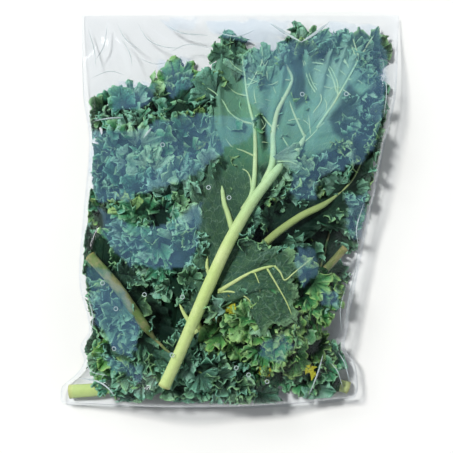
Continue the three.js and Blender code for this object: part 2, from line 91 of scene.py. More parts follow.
def plan_of(points):
    """The x and y of points."""
    return points[..., 0], points[..., 1]


def run_along(line):
    """How far along a line its points are."""
    return np.concatenate([[0], np.cumsum(np.linalg.norm(np.diff(line, axis=0), axis=1))])


def waves(x, seed, octaves=4):
    """Smooth repeatable noise of one coordinate, about -1 to 1, with a longest wave of about 1."""
    draw = np.random.default_rng(seed)
    total = np.zeros_like(np.asarray(x, float))
    for octave in range(octaves):
        rate = 2 * math.pi * (1.0 + 0.83 * octave + 0.3 * draw.random())
        total = total + np.sin(rate * x + 2 * math.pi * draw.random()) / (1 + 0.6 * octave)
    return total / 1.9


def ripple(x, y, seed, octaves=5):
    """Smooth repeatable noise of two coordinates, about -1 to 1, with a longest wave of about 1."""
    draw = np.random.default_rng(seed)
    total = np.zeros_like(np.asarray(x, float))
    weight = 0.0
    for octave in range(octaves):
        for _ in range(3):
            turn = 2 * math.pi * draw.random()
            rate = 2 * math.pi * (0.8 + 0.75 * octave + 0.4 * draw.random())
            size = 1 / (1 + 0.7 * octave)
            place = math.cos(turn) * x + math.sin(turn) * y
            total = total + size * np.sin(rate * place + 2 * math.pi * draw.random())
            weight += size
    return total / (0.55 * weight)


# ---------- The bag's outline in plan, as in the CAD ----------
BAG_LENGTH = 395.0
SEAL_WIDTH = 2.5
SEAL_MIDDLE = -10.0
SEAL_BOW_LEFT = 4.0
SEAL_BOW_RIGHT = 9.0
SEAL_BOW_FADE = 60.0
EDGE_INSET = 8.0
SEAL_END = -BAG_LENGTH / 2
MOUTH_END = BAG_LENGTH / 2
LEFT_SIDE = np.array([
    (-197.5, -168), (-191, -170), (-178, -168), (-165, -155), (-150, -146), (-135, -150),
    (-118, -141), (-71, -151), (-5, -147), (71, -141), (116, -147), (197.5, -149),
], float)
RIGHT_SIDE = np.array([
    (-197.5, 124), (-188, 128), (-165, 127), (-150, 124), (-136, 115), (-118, 118),
    (-88, 123), (-28, 135), (16, 145), (71, 156), (116, 166), (197.5, 170),
], float)


def through(knots, y):
    """A side of the bag, given as y and x of knots, read at y."""
    y = np.asarray(y, float)
    k = clamp(np.searchsorted(knots[:, 0], y, side="left") - 1, 0, len(knots) - 2)
    before = knots[np.maximum(k - 1, 0)]
    first = knots[k]
    second = knots[k + 1]
    after = knots[np.minimum(k + 2, len(knots) - 1)]
    slope_first = (second[..., 1] - before[..., 1]) / (second[..., 0] - before[..., 0])
    slope_second = (after[..., 1] - first[..., 1]) / (after[..., 0] - first[..., 0])
    run = second[..., 0] - first[..., 0]
    t = clamp((y - first[..., 0]) / run, 0, 1)
    bulge = run * t * (1 - t) * ((1 - t) * slope_first - t * slope_second)
    return mix(first[..., 1], second[..., 1], ease(t)) + bulge


def bow(x, y):
    """How far the bag is bowed along y at its sealed end."""
    left = x < SEAL_MIDDLE
    side = np.where(left, SEAL_BOW_LEFT, SEAL_BOW_RIGHT)
    reach = np.where(left, SEAL_MIDDLE - LEFT_SIDE[0, 1], RIGHT_SIDE[0, 1] - SEAL_MIDDLE)
    fade = 1 - ease(clamp((y - SEAL_END) / SEAL_BOW_FADE, 0, 1))
    return side * np.minimum(np.abs(x - SEAL_MIDDLE) / reach, 1) ** 2 * fade


def unbowed(x, y):
    """The y that the bow brings to this one."""
    straight = y
    for _ in range(6):
        straight = y - bow(x, straight)
    return straight


def depth_in_bag(x, y):
    """Distance of places in plan from the bag's nearer side or its seal, less than 0 outside."""
    straight = unbowed(x, y)
    side = np.minimum(x - through(LEFT_SIDE, straight), through(RIGHT_SIDE, straight) - x)
    return np.minimum(side, straight - SEAL_END - SEAL_WIDTH)


# ---------- The leaves in plan, as in the CAD ----------
HALF_BLADE = [0.6, 0.85, 1, 1, 0.95, 0.78, 0.45]
ROWS = [0.0, 0.45, 0.76, 1.0]
TIP_START = 0.94
BASE_ANGLE = 1.25
RAY_BEND = 0.2
FRILL_RAYS = 3.3
FRILL_REACH = 0.06
LOBES = 5
LOBE_DEPTH = 0.24
PHASE_STEP = 2.4
TRIM_STEP = 0.95
MOST_TRIMS = 45
LEAST_PLAN_AREA = 0.5
RIB_END = 0.97
TIP_RADIUS = 1.1
RIB_TAPER = 2.3


def half(longest):
    return [share * longest for share in HALF_BLADE]


# name, spine, bare share, left and right rays, rib radius, ray step, back side up
LEAVES = [
    ("low_left",
     [(-161, -181), (-122, -176), (-80, -156), (-54, -108), (-58, -38), (-70, 22), (-90, 112)],
     0.27, half(72), half(76), 7.0, 10, False),
    ("low_right",
     [(119, -177), (95, -168), (60, -142), (34, -88), (34, -18), (56, 52), (72, 116)],
     0.27, half(66), half(68), 6.2, 10, False),
    ("back_right",
     [(74, -122), (86, -78), (101, -14), (119, 56), (132, 116), (136, 166)],
     0.16, half(60), half(40), 5.6, 10, True),
    ("back_left",
     [(-118, -128), (-128, -78), (-124, -18), (-117, 52), (-108, 104)],
     0.12, half(36), half(56), 5.4, 10, False),
    ("back_middle",
     [(6, -176), (0, -108), (-16, -28), (-34, 62), (-54, 134)],
     0.28, half(62), half(62), 5.8, 10, False),
    ("corner_left",
     [(-58, -177), (-88, -172), (-114, -152), (-124, -118), (-122, -84)],
     0.14, half(36), half(34), 4.6, 9, False),
    ("corner_right",
     [(26, -98), (52, -122), (78, -144), (94, -168)],
     0.12, half(40), half(50), 4.4, 9, False),
    ("left_curls",
     [(-30, -118), (-50, -66), (-72, -10), (-92, 46), (-108, 92)],
     0.12, half(62), half(72), 5.2, 8, False),
    ("right_arch",
     [(-14, -108), (6, -68), (34, -32), (66, -7), (96, 9), (120, 30), (134, 62), (140, 100)],
     0.3, half(54), half(42), 5.2, 8, True),
    ("right_curls",
     [(114, -36), (90, -62), (62, -90), (30, -122), (-10, -156)],
     0.16, half(58), half(66), 5.2, 8, False),
    ("left_slant",
     [(-138, -44), (-112, -72), (-92, -100), (-70, -130), (-38, -154), (10, -172)],
     0.12, half(42), half(66), 5.8, 8, True),
    ("front",
     [(-67, -176.5), (-50, -140), (-34, -103), (-18, -66), (0, -28), (23, 11), (49, 44),
      (75, 76), (99, 107), (118, 136), (127, 157)],
     0.2, [44, 84, 118, 140, 168, 92, 40, 26], [44, 60, 72, 56, 16, 20, 110, 18], 7.1, 8, True),
]
# Where a midrib begins to sink into its leaf, as a share of its run.
SUNK_FROM = {"right_arch": 0.56, "left_slant": 0.42, "back_right": 0.06}
SINKING = 0.12  # the share of its run over which it sinks
SUNK_DEPTH = 9.0
SUNK_WIDTH = 0.35
LEAST_SUNK_HEIGHT = 2.0
# Where the front leaf's thick stalk starts and ends, as shares of its spine, and its radii at some
# shares between. Above it the veins spread by themselves.
STALK_START = 0.015
STALK_END = 0.655
STALK_SHARES = [0, 0.25, 0.42, 0.51, 0.6, STALK_END]
STALK_RADII = [5.6, 6.1, 5.9, 5.3, 4.7, 3.6]
# Veins on the back of the front leaf: points in plan, and the radius at each end.
FRONT_VEINS = [
    ([(13, 1), (21, 15), (24, 32), (25, 53), (25, 71), (24, 87), (20, 103), (17, 119), (15, 136),
      (12, 156)], 3.5, 0.8),
    ([(24, 55), (13, 60), (2, 64), (-5, 73)], 1.1, 0.4),
    ([(23, 87), (10, 91), (0, 98), (-6, 108), (-14, 117), (-24, 124)], 1.4, 0.5),
    ([(17, 116), (8, 118), (0, 123), (-6, 131)], 1.1, 0.4),
    ([(21, 21), (20, 33), (16, 40), (8, 43)], 1.0, 0.4),
    ([(25, 66), (32, 69), (40, 68)], 0.6, 0.4),
    ([(16, 127), (24, 129), (30, 133), (35, 143)], 0.8, 0.4),
    ([(34, 28), (41, 44), (43, 60), (43, 76), (45, 89), (48, 101), (54, 113), (60, 125), (62, 134),
      (58, 143), (52, 153), (46, 168)], 4.2, 0.9),
    ([(43, 83), (36, 91), (30, 100), (25, 113), (24, 125)], 1.1, 0.4),
    ([(61, 131), (52, 131), (45, 126)], 0.8, 0.4),
    ([(66, 59), (70, 66), (75, 76)], 3.3, 2.4),
    ([(74, 74), (68, 87), (63, 99), (59, 111)], 1.6, 0.6),
    ([(67, 61), (73, 68), (80, 74), (88, 83), (97, 91)], 1.0, 0.5),
    ([(80, 74), (79, 85), (78, 96)], 0.7, 0.4),
    ([(86, 82), (94, 94), (103, 107), (110, 119), (118, 133), (127, 149), (134, 161), (142, 174)],
     1.7, 0.8),
    ([(32, 166), (32, 150), (25, 136), (17, 123)], 0.6, 0.8),
    ([(18, 134), (26, 130), (38, 126)], 0.7, 0.4),
    ([(38, 151), (32, 139), (28, 129)], 0.5, 0.4),
    ([(53, 133), (42, 127), (30, 127)], 0.7, 0.4),
    ([(24, 108), (33, 112), (42, 110)], 0.6, 0.3),
    ([(25, 96), (31, 92), (35, 84)], 0.6, 0.3),
    ([(70, 166), (76, 146), (83, 127), (91, 112), (82, 97)], 0.6, 0.7),
    ([(80, 149), (95, 146), (103, 131), (106, 116)], 0.6, 1.1),
    ([(84, 143), (94, 138), (103, 131)], 0.5, 0.6),
    ([(83, 128), (94, 124), (105, 122)], 0.4, 0.5),
    ([(100, 166), (110, 153), (120, 143)], 0.6, 0.9),
    ([(122, 171), (128, 153), (130, 147)], 0.6, 0.9),
    ([(111, 122), (104, 124), (97, 119)], 0.7, 0.4),
    ([(118, 133), (110, 140), (104, 146)], 0.7, 0.4),
    ([(127, 149), (136, 146), (143, 138)], 0.7, 0.4),
    ([(94, 94), (96, 106), (93, 113)], 0.8, 0.4),
    ([(58, 90), (66, 92), (74, 90), (80, 84)], 0.6, 0.4),
    ([(120, 139), (114, 151), (107, 161), (100, 170)], 1.0, 0.4),
    ([(127, 149), (123, 159), (120, 168)], 0.8, 0.4),
    ([(107, 115), (107, 127), (103, 139), (98, 146), (92, 153)], 1.2, 0.5),
    ([(86, 117), (79, 129), (75, 141), (72, 156)], 1.0, 0.4),
    ([(58, 64), (52, 74), (47, 85)], 0.9, 0.5),
    ([(47, 49), (58, 49), (68, 45), (76, 39)], 1.0, 0.5),
    ([(3, -21), (-2, -3), (-6, 9), (-8, 25)], 3.3, 2.1),
    ([(-15, -72), (-22, -57), (-22, -44)], 2.8, 1.3),
    ([(-32, -118), (-43, -102), (-49, -90)], 3.0, 1.2),
    ([(13, 140), (4, 146), (-2, 154)], 0.8, 0.4),
    ([(38, 130), (36, 142), (30, 154)], 0.8, 0.4),
    ([(24, 76), (34, 84), (36, 90)], 0.6, 0.3),
    ([(44, 84), (52, 88), (57, 96)], 0.7, 0.3),
    ([(53, 112), (46, 118), (42, 128)], 0.7, 0.3),
    ([(117, 131), (126, 130), (133, 124)], 0.8, 0.4),
    ([(111, 121), (118, 116), (122, 108)], 0.7, 0.3),
    ([(-11, -78), (2, -70), (16, -62), (30, -56), (43, -53)], 2.3, 1.3),
    ([(43, -53), (49, -60), (53, -67), (62, -60), (72, -52), (82, -44)], 1.1, 0.5),
    ([(36, -56), (42, -66), (49, -78), (55, -89), (60, -101)], 1.1, 0.5),
    ([(24, -60), (28, -70), (29, -79)], 0.7, 0.3),
    ([(-12, -79), (0, -78), (11, -81), (19, -87), (22, -96)], 1.2, 0.5),
]
# Hollows in the front leaf, where it folds down and is painted with dark shade: outlines in plan
# and depth.
FRONT_HOLLOWS = [
    ([(60, 152), (73, 158), (75, 136), (77, 110), (66, 101), (62, 117), (65, 132)], 4.0),
    ([(31, 101), (37, 92), (38, 63), (33, 60), (29, 88)], 2.5),
    ([(26, 44), (40, 46), (33, 33)], 2.0),
    ([(88, 170), (97, 166), (96, 148), (89, 150)], 3.0),
    ([(118, 128), (130, 112), (144, 128), (150, 100), (144, 66), (120, 58), (104, 76), (98, 90),
      (108, 106)], 3.0),
    ([(44, 100), (51, 112), (55, 104), (50, 88), (45, 76)], 2.0),
    ([(14, 132), (4, 142), (10, 152), (15, 146)], 2.0),
]
# The part of the front leaf that is folded over and pale, in plan.
FLAP = [(76, 160), (84, 126), (92, 110), (78, 92), (96, 88), (126, 140), (136, 166), (100, 172)]
YELLOWED = 1.1  # the spread that marks the lobes that have yellowed
# Large lobes beside the sheets: root in plan, heading in degrees, length, spread, and lift.
EXTRA_LOBES = {
    "front": [
        ((6, -70), -14, 66, 0.42, 0.0), ((41, 53), -36, 33, 0.6, 7.0),
        ((-14, 116), 150, 30, 0.6, 0.0), ((6, 128), 120, 30, 0.5, 0.0),
        ((20, 132), 98, 34, 0.5, 0.0), ((42, 134), 92, 36, 0.45, 0.0),
        ((70, 160), 100, 24, 0.6, 0.0), ((88, 164), 84, 22, 0.6, 0.0)],
    "right_curls": [((-4, -92), 30, 12, YELLOWED, 11.0), ((34, -158), 80, 9, YELLOWED, 6.0),
                    ((78, -158), 60, 9, YELLOWED, 6.0), ((82, -70), -30, 20, 0.9, 2.0),
                    ((90, -86), -60, 20, 0.9, 2.0), ((74, -84), -80, 16, 0.9, 2.0)],
    "corner_right": [((52, -160), -110, 22, 0.9, 0.0), ((74, -166), -80, 20, 0.9, 0.0),
                     ((34, -164), -100, 20, 0.9, 0.0)],
    "left_curls": [((-124, 98), 175, 20, 0.8, 0.0), ((-122, 106), 140, 15, 0.9, 0.0),
                   ((-130, 84), 185, 18, 0.9, 0.0), ((-108, 112), 110, 16, 0.9, 0.0)],
    "corner_left": [((-100, -160), 200, 22, 0.9, 0.0), ((-118, -140), 190, 20, 0.9, 0.0),
                    ((-84, -158), -80, 22, 0.9, 2.0), ((-76, -146), -60, 22, 0.9, 4.0),
                    ((-98, -150), -110, 22, 0.9, 2.0)],
    "left_slant": [((6, -168), -60, 20, 0.9, 0.0), ((-30, -172), -120, 18, 0.9, 0.0),
                   ((-94, -92), -60, 18, 0.9, 2.0), ((-86, -108), -70, 14, 0.9, 2.0),
                   ((-62, -144), -70, 20, 0.9, 4.0), ((-48, -150), -30, 20, 0.9, 4.0),
                   ((-30, -160), -60, 20, 0.9, 4.0), ((-12, -164), -20, 20, 0.9, 4.0),
                   ((-52, -158), -150, 18, 0.9, 3.0)],
}
# Gaps in the pile, where no curls stand and the sheet below is painted with dark shade: outlines in
# plan.
GAPS = [
    [(94, -162), (112, -168), (132, -172), (130, -190), (98, -186)],
    [(-74, -88), (-58, -90), (-53, -104), (-58, -128), (-68, -132), (-76, -116)],
    [(66, -12), (80, -6), (96, 0), (98, -24), (84, -32), (70, -28)],
    [(20, -36), (32, -18), (40, -12), (40, -22), (28, -42)],
    [(36, 34), (46, 36), (52, 20), (40, 10), (30, 18)],
]


def along(values, share):
    """Values at even steps, read at a share of the way."""
    place = min(max(share, 0.0), 1.0) * (len(values) - 1)
    low = min(int(place), len(values) - 2)
    return mix(values[low], values[low + 1], ease(place - low))


class Spine:
    """A smooth curve through points in plan, read by its length."""

    DIVISIONS = 200

    def __init__(self, points):
        self.points = np.array(points, float)
        marks = [self.point(i / self.DIVISIONS) for i in range(self.DIVISIONS + 1)]
        self.lengths = run_along(marks)
        self.length = float(self.lengths[-1])

    def point(self, t):
        last = len(self.points) - 1
        place = last * t
        i = min(int(place), last - 1)
        w = place - i
        p = self.points
        before = p[i - 1] if i > 0 else 2 * p[0] - p[1]
        after = p[i + 2] if i + 2 <= last else 2 * p[last] - p[last - 1]
        t0 = 0.5 * (p[i + 1] - before)
        t1 = 0.5 * (after - p[i])
        c2 = -3 * p[i] + 3 * p[i + 1] - 2 * t0 - t1
        c3 = 2 * p[i] - 2 * p[i + 1] + t0 + t1
        return p[i] + t0 * w + c2 * w * w + c3 * w ** 3

    def parameter(self, share):
        marks = np.linspace(0, 1, self.DIVISIONS + 1)
        return float(np.interp(share * self.length, self.lengths, marks))

    def at(self, share):
        return self.point(self.parameter(share))

    def heading(self, share):
        t = self.parameter(share)
        run = self.point(min(t + 1e-4, 1.0)) - self.point(max(t - 1e-4, 0.0))
        return run / np.linalg.norm(run)


class Leaf:
    def __init__(self, number, name, spine, bare, left, right, radius, ray_step, back_up):
        self.number = number
        self.name = name
        self.spine = Spine(spine)
        self.bare = bare
        self.sides = {1: left, -1: right}
        self.radius = radius
        self.back_up = back_up
        self.rays = int((TIP_START - bare) * self.spine.length / ray_step + 0.5)
        self.roots = [mix(TIP_START, bare, k / self.rays) for k in range(self.rays + 1)]
        self.starts = [self.spine.at(root) for root in self.roots]
        self.headings = [self.spine.heading(root) for root in self.roots]
        self.lengths = {}
        for side in (1, -1):
            for k in range(self.rays + 1):
                self.measure(side, k)

    def on_ray(self, side, k, v):
        """The place at a share v of ray k, from the rib to the margin."""
        share = k / self.rays
        bent = side * BASE_ANGLE * math.sqrt(share) * (1 - RAY_BEND * v)
        hx, hy = self.headings[k]
        sx, sy = self.starts[k]
        run = self.lengths[side, k] * v
        c, s = run * math.cos(bent), run * math.sin(bent)
        return sx + hx * c - hy * s, sy + hy * c + hx * s

    def measure(self, side, k):
        """Finds a ray's length, cut back until it is in the bag and clear of the ray before."""
        share = k / self.rays
        lobe = 1 - (LOBE_DEPTH * (1 + math.cos(2 * math.pi * LOBES * share + self.number))) / 2
        wave = -side * k * 2 * math.pi / FRILL_RAYS + PHASE_STEP * self.number
        length = along(self.sides[side], share) * lobe * (1 + FRILL_REACH * math.sin(wave))
        self.lengths[side, k] = length
        for _ in range(MOST_TRIMS):
            x, y = self.on_ray(side, k, 1)
            depth = depth_in_bag(np.float64(x), np.float64(y))
            out = y > MOUTH_END - EDGE_INSET or depth < EDGE_INSET
            if not out and not self.crossed(side, k):
                break
            self.lengths[side, k] *= TRIM_STEP

    def crossed(self, side, k):
        """Whether a ray crosses the one before it."""
        if k == 0:
            return False
        for inner, v in zip(ROWS[:-1], ROWS[1:]):
            a, b = self.on_ray(side, k, inner), self.on_ray(side, k - 1, inner)
            c, d = self.on_ray(side, k - 1, v), self.on_ray(side, k, v)
            if min(side * plan_area(a, b, d), side * plan_area(b, c, d)) < LEAST_PLAN_AREA:
                return True
        return False

    def radius_at(self, share):
        return mix(self.radius, TIP_RADIUS, share ** RIB_TAPER)


def plan_area(a, b, c):
    return ((b[0] - a[0]) * (c[1] - a[1]) - (b[1] - a[1]) * (c[0] - a[0])) / 2


# ---------- Reading the CAD solids ----------
ABOVE = 500.0  # a height over everything
SAME_PLACE = 0.05
NUDGES = (0.0, 0.4, -0.4)


def surface_tree(points, faces):
    return BVHTree.FromPolygons([Vector(p) for p in points], faces.tolist())


def drop(tree, x, y):
    """Where a line straight down meets a surface, and the surface's normal there, or None."""
    return tree.ray_cast((x, y, ABOVE), (0, 0, -1))[:2]


class Solid:
    """The surface of one or more CAD nodes, in millimetres."""

    def __init__(self, *names):
        points, triangles, count = [], [], 0
        for name in names:
            mesh = nodes[name].data
            co = np.zeros(len(mesh.vertices) * 3)
            mesh.vertices.foreach_get("co", co)
            mesh.calc_loop_triangles()
            tris = np.zeros(len(mesh.loop_triangles) * 3, np.int32)
            mesh.loop_triangles.foreach_get("vertices", tris)
            points.append(co.reshape(-1, 3) / MM)
            triangles.append(tris.reshape(-1, 3) + count)
            count += len(points[-1])
        self.points = np.concatenate(points)
        self.tree = surface_tree(self.points, np.concatenate(triangles))
        self.plan = KDTree(len(self.points))
        for i, p in enumerate(self.points):
            self.plan.insert((p[0], p[1], 0), i)
        self.plan.balance()

    def corner(self, x, y):
        """The place in plan of the vertices nearest to a place, and their least and most height."""
        near, i, _ = self.plan.find((x, y, 0))
        heights = [self.points[j][2] for _, j, _ in self.plan.find_range(near, SAME_PLACE)]
        return self.points[i][0], self.points[i][1], min(heights), max(heights)

    def top(self, x, y):
        """The solid's upper side at a place in plan, or close beside it."""
        for dx in NUDGES:
            for dy in NUDGES:
                spot, _ = drop(self.tree, x + dx, y + dy)
                if spot is not None:
                    return spot.z
        return None


def step_of(places, at):
    """Which step between ascending places each value falls in, and its share of that step."""
    k = clamp(np.searchsorted(places, at, side="right") - 1, 0, len(places) - 2)
    return k, (at - places[k]) / (places[k + 1] - places[k])


def smooth_grid(values, rows, columns, row_places, column_places):
    """Cubic reading of a grid of values (rows x columns [x n]) given at uneven places."""

    def read(places, data, at):
        places = np.asarray(places, float)
        flat = (-1,) + (1,) * (data.ndim - 1)
        steps = np.diff(places).reshape(flat)
        runs = np.diff(data, axis=0) / steps
        middle = (runs[:-1] * steps[1:] + runs[1:] * steps[:-1]) / (steps[1:] + steps[:-1])
        m = np.concatenate([runs[:1], middle, runs[-1:]])
        k, t = step_of(places, at)
        t, run = t.reshape(flat), steps[k]
        return (
            (2 * t ** 3 - 3 * t ** 2 + 1) * data[k]
            + (t ** 3 - 2 * t ** 2 + t) * run * m[k]
            + (3 * t ** 2 - 2 * t ** 3) * data[k + 1]
            + (t ** 3 - t ** 2) * run * m[k + 1]
        )

    swapped = np.swapaxes(read(rows, values, row_places), 0, 1)
    return np.swapaxes(read(columns, swapped, column_places), 0, 1)


def between(grid, i, j, down, right):
    """Straight-line reading of a grid between the corners of a cell."""
    first = grid[i, j] * (1 - right) + grid[i, j + 1] * right
    second = grid[i + 1, j] * (1 - right) + grid[i + 1, j + 1] * right
    return first * (1 - down) + second * down


class Field:
    """A value over the bag's plan, on a fine grid."""

    WEST, SOUTH, CELL = -178.0, -204.0, 2.0
    COLUMNS, LINES = 180, 204
    PLACES = np.meshgrid(WEST + CELL * np.arange(COLUMNS), SOUTH + CELL * np.arange(LINES))
    GAP = 0.5  # what is made next stays this far below the points that lower a field

    def __init__(self, cells):
        self.cells = cells

    def at(self, x, y):
        c = clamp((x - self.WEST) / self.CELL, 0, self.COLUMNS - 1.001)
        r = clamp((y - self.SOUTH) / self.CELL, 0, self.LINES - 1.001)
        i, j = r.astype(int), c.astype(int)
        return between(self.cells, i, j, r - i, c - j)

    def under(self, points):
        """The cells nearest to some points."""
        c = clamp(np.rint((points[:, 0] - self.WEST) / self.CELL), 0, self.COLUMNS - 1)
        r = clamp(np.rint((points[:, 1] - self.SOUTH) / self.CELL), 0, self.LINES - 1)
        return r.astype(int), c.astype(int)

    def lower_to(self, points):
        """Brings the cells over these points down close above them."""
        np.minimum.at(self.cells, self.under(points), points[:, 2] - self.GAP)


# ---------- Meshes ----------
def linked(name, mesh):
    """A smoothly shaded object with this mesh."""
    mesh.polygons.foreach_set("use_smooth", np.full(len(mesh.polygons), True))
    return new_object(name, mesh)


def mesh_object(name, points, faces):
    """An object with this mesh of equal faces. Points are in millimetres."""
    mesh = bpy.data.meshes.new(name)
    points = np.asarray(points, np.float32) * MM
    faces = np.asarray(faces, np.int32)
    count, size = faces.shape
    mesh.vertices.add(len(points))
    mesh.vertices.foreach_set("co", points.ravel())
    mesh.loops.add(count * size)
    mesh.loops.foreach_set("vertex_index", faces.ravel())
    mesh.polygons.add(count)
    starts = np.arange(0, count * size, size, dtype=np.int32)
    mesh.polygons.foreach_set("loop_start", starts)
    mesh.update(calc_edges=True)
    mesh.validate()
    return linked(name, mesh)


def tubes_object(name, tubes):
    """An object with these tubes, each given as points in millimetres and faces."""
    points, faces = [], []
    for tube_points, tube_faces in tubes:
        faces += [[i + len(points) for i in face] for face in tube_faces]
        points += tube_points.tolist()
    mesh = bpy.data.meshes.new(name)
    mesh.from_pydata([tuple(c * MM for c in p) for p in points], [], faces)
    mesh.validate()
    return linked(name, mesh)


def give(made, name, values):
    """A number or a vector on each vertex, for the material."""
    values = np.asarray(values, np.float32)
    kind = "FLOAT" if values.ndim == 1 else "FLOAT_VECTOR"
    layer = made.data.attributes.new(name, kind, "POINT")
    layer.data.foreach_set("value" if values.ndim == 1 else "vector", values.ravel())


def sheet_faces(columns, rows):
    """Quads of one side of a sheet of columns x rows points."""
    i = np.arange(columns * rows).reshape(columns, rows)
    corners = (i[:-1, :-1], i[1:, :-1], i[1:, 1:], i[:-1, 1:])
    return np.stack([corner.ravel() for corner in corners], 1)


def shell_faces(columns, rows, count, turned=False):
    """Faces of a two-sided sheet, whose second side's points stand count further on."""
    upper = sheet_faces(columns, rows)
    lower = upper[:, [0, 3, 2, 1]] + count
    i = np.arange(columns * rows).reshape(columns, rows)
    rim = np.concatenate([i[:, 0], i[-1, 1:], i[-2::-1, -1], i[0, -2:0:-1]])
    after = np.roll(rim, -1)
    wall = np.stack([after, rim, rim + count, after + count], 1)
    faces = np.concatenate([upper, lower, wall])
    return faces[:, ::-1] if turned else faces


def tube(line, radii, sides, squash=1.0, flutes=0.0, phase=0.0):
    """Points and faces of a tube along a line of points. Its last two points close its ends."""
    heading = unit(np.gradient(line, axis=0))
    across = unit(np.stack([-heading[:, 1], heading[:, 0], np.zeros(len(line))], 1))
    up = np.cross(heading, across)
    turn = 2 * math.pi * np.arange(sides) / sides
    shape = 1 + flutes * np.cos(5 * turn + phase) + 0.6 * flutes * np.cos(9 * turn + 2 * phase)
    rings = (
        line[:, None, :]
        + across[:, None, :] * (radii[:, None] * np.cos(turn) * shape)[..., None]
        + up[:, None, :] * (squash * radii[:, None] * np.sin(turn) * shape)[..., None]
    )
    points = np.vstack([rings.reshape(-1, 3), line[[0, -1]]])
    last = (len(line) - 1) * sides
    faces = []
    for r in range(0, last, sides):
        for s in range(sides):
            n = (s + 1) % sides
            faces.append((r + s, r + n, r + sides + n, r + sides + s))
    for s in range(sides):
        n = (s + 1) % sides
        faces.append((last + sides, n, s))
        faces.append((last + sides + 1, last + s, last + n))
    return points, faces


def smooth_line(points, steps):
    """A smooth curve through points in plan, at even steps."""
    p = np.array(points, float)
    p = np.vstack([2 * p[0] - p[1], p, 2 * p[-1] - p[-2]])
    at = np.linspace(0, len(points) - 1, steps)
    i = np.minimum(at.astype(int), len(points) - 2)
    t = (at - i)[:, None]
    a, b, c, d = p[i], p[i + 1], p[i + 2], p[i + 3]
    square, cube = 2 * a - 5 * b + 4 * c - d, 3 * (b - c) + d - a
    return 0.5 * (2 * b + (c - a) * t + square * t ** 2 + cube * t ** 3)


def averaged(values, count):
    """The running mean over an odd count of neighbours in a row."""
    padded = np.pad(values, count // 2, mode="edge")
    return np.convolve(padded, np.ones(count) / count, mode="valid")


# ---------- The film ----------
# Shares across the bag and stations along it where the CAD bag has its vertices.
ACROSS = np.array([0, .012, .045, .11, .2, .3, .4, .5, .6, .7, .8, .89, .955, .988, 1.0])
FIRST_STATIONS = [0.0, 2.5, 3.5, 5.0, 9.0, 15.0, 24.0, 37.0]
STATION_STEP = 19.0
more_stations = math.ceil((BAG_LENGTH - FIRST_STATIONS[-1]) / STATION_STEP)
STATIONS = np.array(FIRST_STATIONS + [
    mix(FIRST_STATIONS[-1], BAG_LENGTH, (i + 1) / more_stations) for i in range(more_stations)])


def bag_place(share, station):
    """Plan place of a share of the bag's width at a station from its seal."""
    y = SEAL_END + station
    x = mix(through(LEFT_SIDE, y), through(RIGHT_SIDE, y), share)
    return x, y + bow(x, y)


def bag_heights():
    """Heights of the CAD bag's lower and upper films at its stations and shares."""
    solid = Solid("bag")
    heights = np.zeros((2, len(STATIONS), len(ACROSS)))
    for i, station in enumerate(STATIONS):
        for j, share in enumerate(ACROSS):
            x, y = bag_place(share, station)
            heights[:, i, j] = solid.corner(float(x), float(y))[2:]
    return heights


coarse_low, coarse_top = bag_heights()


def bag_grid(shares, stations):
    s, t = np.meshgrid(shares, stations)
    x, y = bag_place(s, t)
    top = smooth_grid(coarse_top, STATIONS, ACROSS, stations, shares)
    low = smooth_grid(coarse_low, STATIONS, ACROSS, stations, shares)
    return x, y, top, low


def segment_distance(x, y, a, b):
    """Distance of points from a segment, and the share along it."""
    ax, ay = a
    dx, dy = b[0] - ax, b[1] - ay
    t = clamp(((x - ax) * dx + (y - ay) * dy) / (dx * dx + dy * dy), 0, 1)
    return np.hypot(x - ax - t * dx, y - ay - t * dy), t


def line_distance(x, y, line):
    """Distance of points from a line of segments."""
    return np.min([segment_distance(x, y, a, b)[0] for a, b in zip(line[:-1], line[1:])], axis=0)


def covered_by(x, y, outline, soft):
    """How far places in plan are inside a closed outline: 0 outside, 1 inside, over a soft edge."""
    closed = outline + outline[:1]
    inside = np.zeros(x.shape, bool)
    for a, b in zip(closed[:-1], closed[1:]):
        if a[1] != b[1]:
            crossing = (b[0] - a[0]) * (y - a[1]) / (b[1] - a[1]) + a[0]
            inside ^= ((a[1] > y) != (b[1] > y)) & (x < crossing)
    nearest = line_distance(x, y, closed)
    return step_between(-soft, soft, np.where(inside, nearest, -nearest))


def in_gap(x, y, soft):
    """How far places in plan are inside a gap, whose sheet is painted with shade."""
    return np.max([covered_by(x, y, outline, soft) for outline in GAPS], axis=0)


# Creases that stand out, as [points in plan], height and half width.
CREASES = [
    ([(43, 185), (70, 167), (98, 185)], 2.4, 2.2),
    ([(-133, 88), (-105, 92)], 1.6, 1.6),
    ([(-84, 80), (-78, 74)], 1.8, 1.6),
    ([(-134, -88), (-130, -104), (-134, -120)], 1.6, 1.8),
    ([(92, -134), (84, -160), (76, -184)], 2.2, 1.8),
    ([(-149, -164), (-132, -166), (-120, -172), (-112, -180)], 2.2, 1.6),
    ([(145, 190), (152, 140), (150, 84), (140, 30)], 1.6, 2.6),
    ([(-120, 186), (-106, 166), (-98, 140)], 0.8, 2.6),
    ([(-84, 190), (-60, 172), (-30, 170)], 0.8, 2.4),
    ([(-40, 176), (-10, 168), (24, 178)], 1.1, 2.0),
    ([(118, -20), (126, -60), (112, -104)], 1.6, 2.2),
    ([(126, -138), (110, -150), (100, -176)], 2.4, 2.0),
]
CREASE_FLANK = 1.3  # how steeply a crease's sides fall
SMALL_CREASES = 150


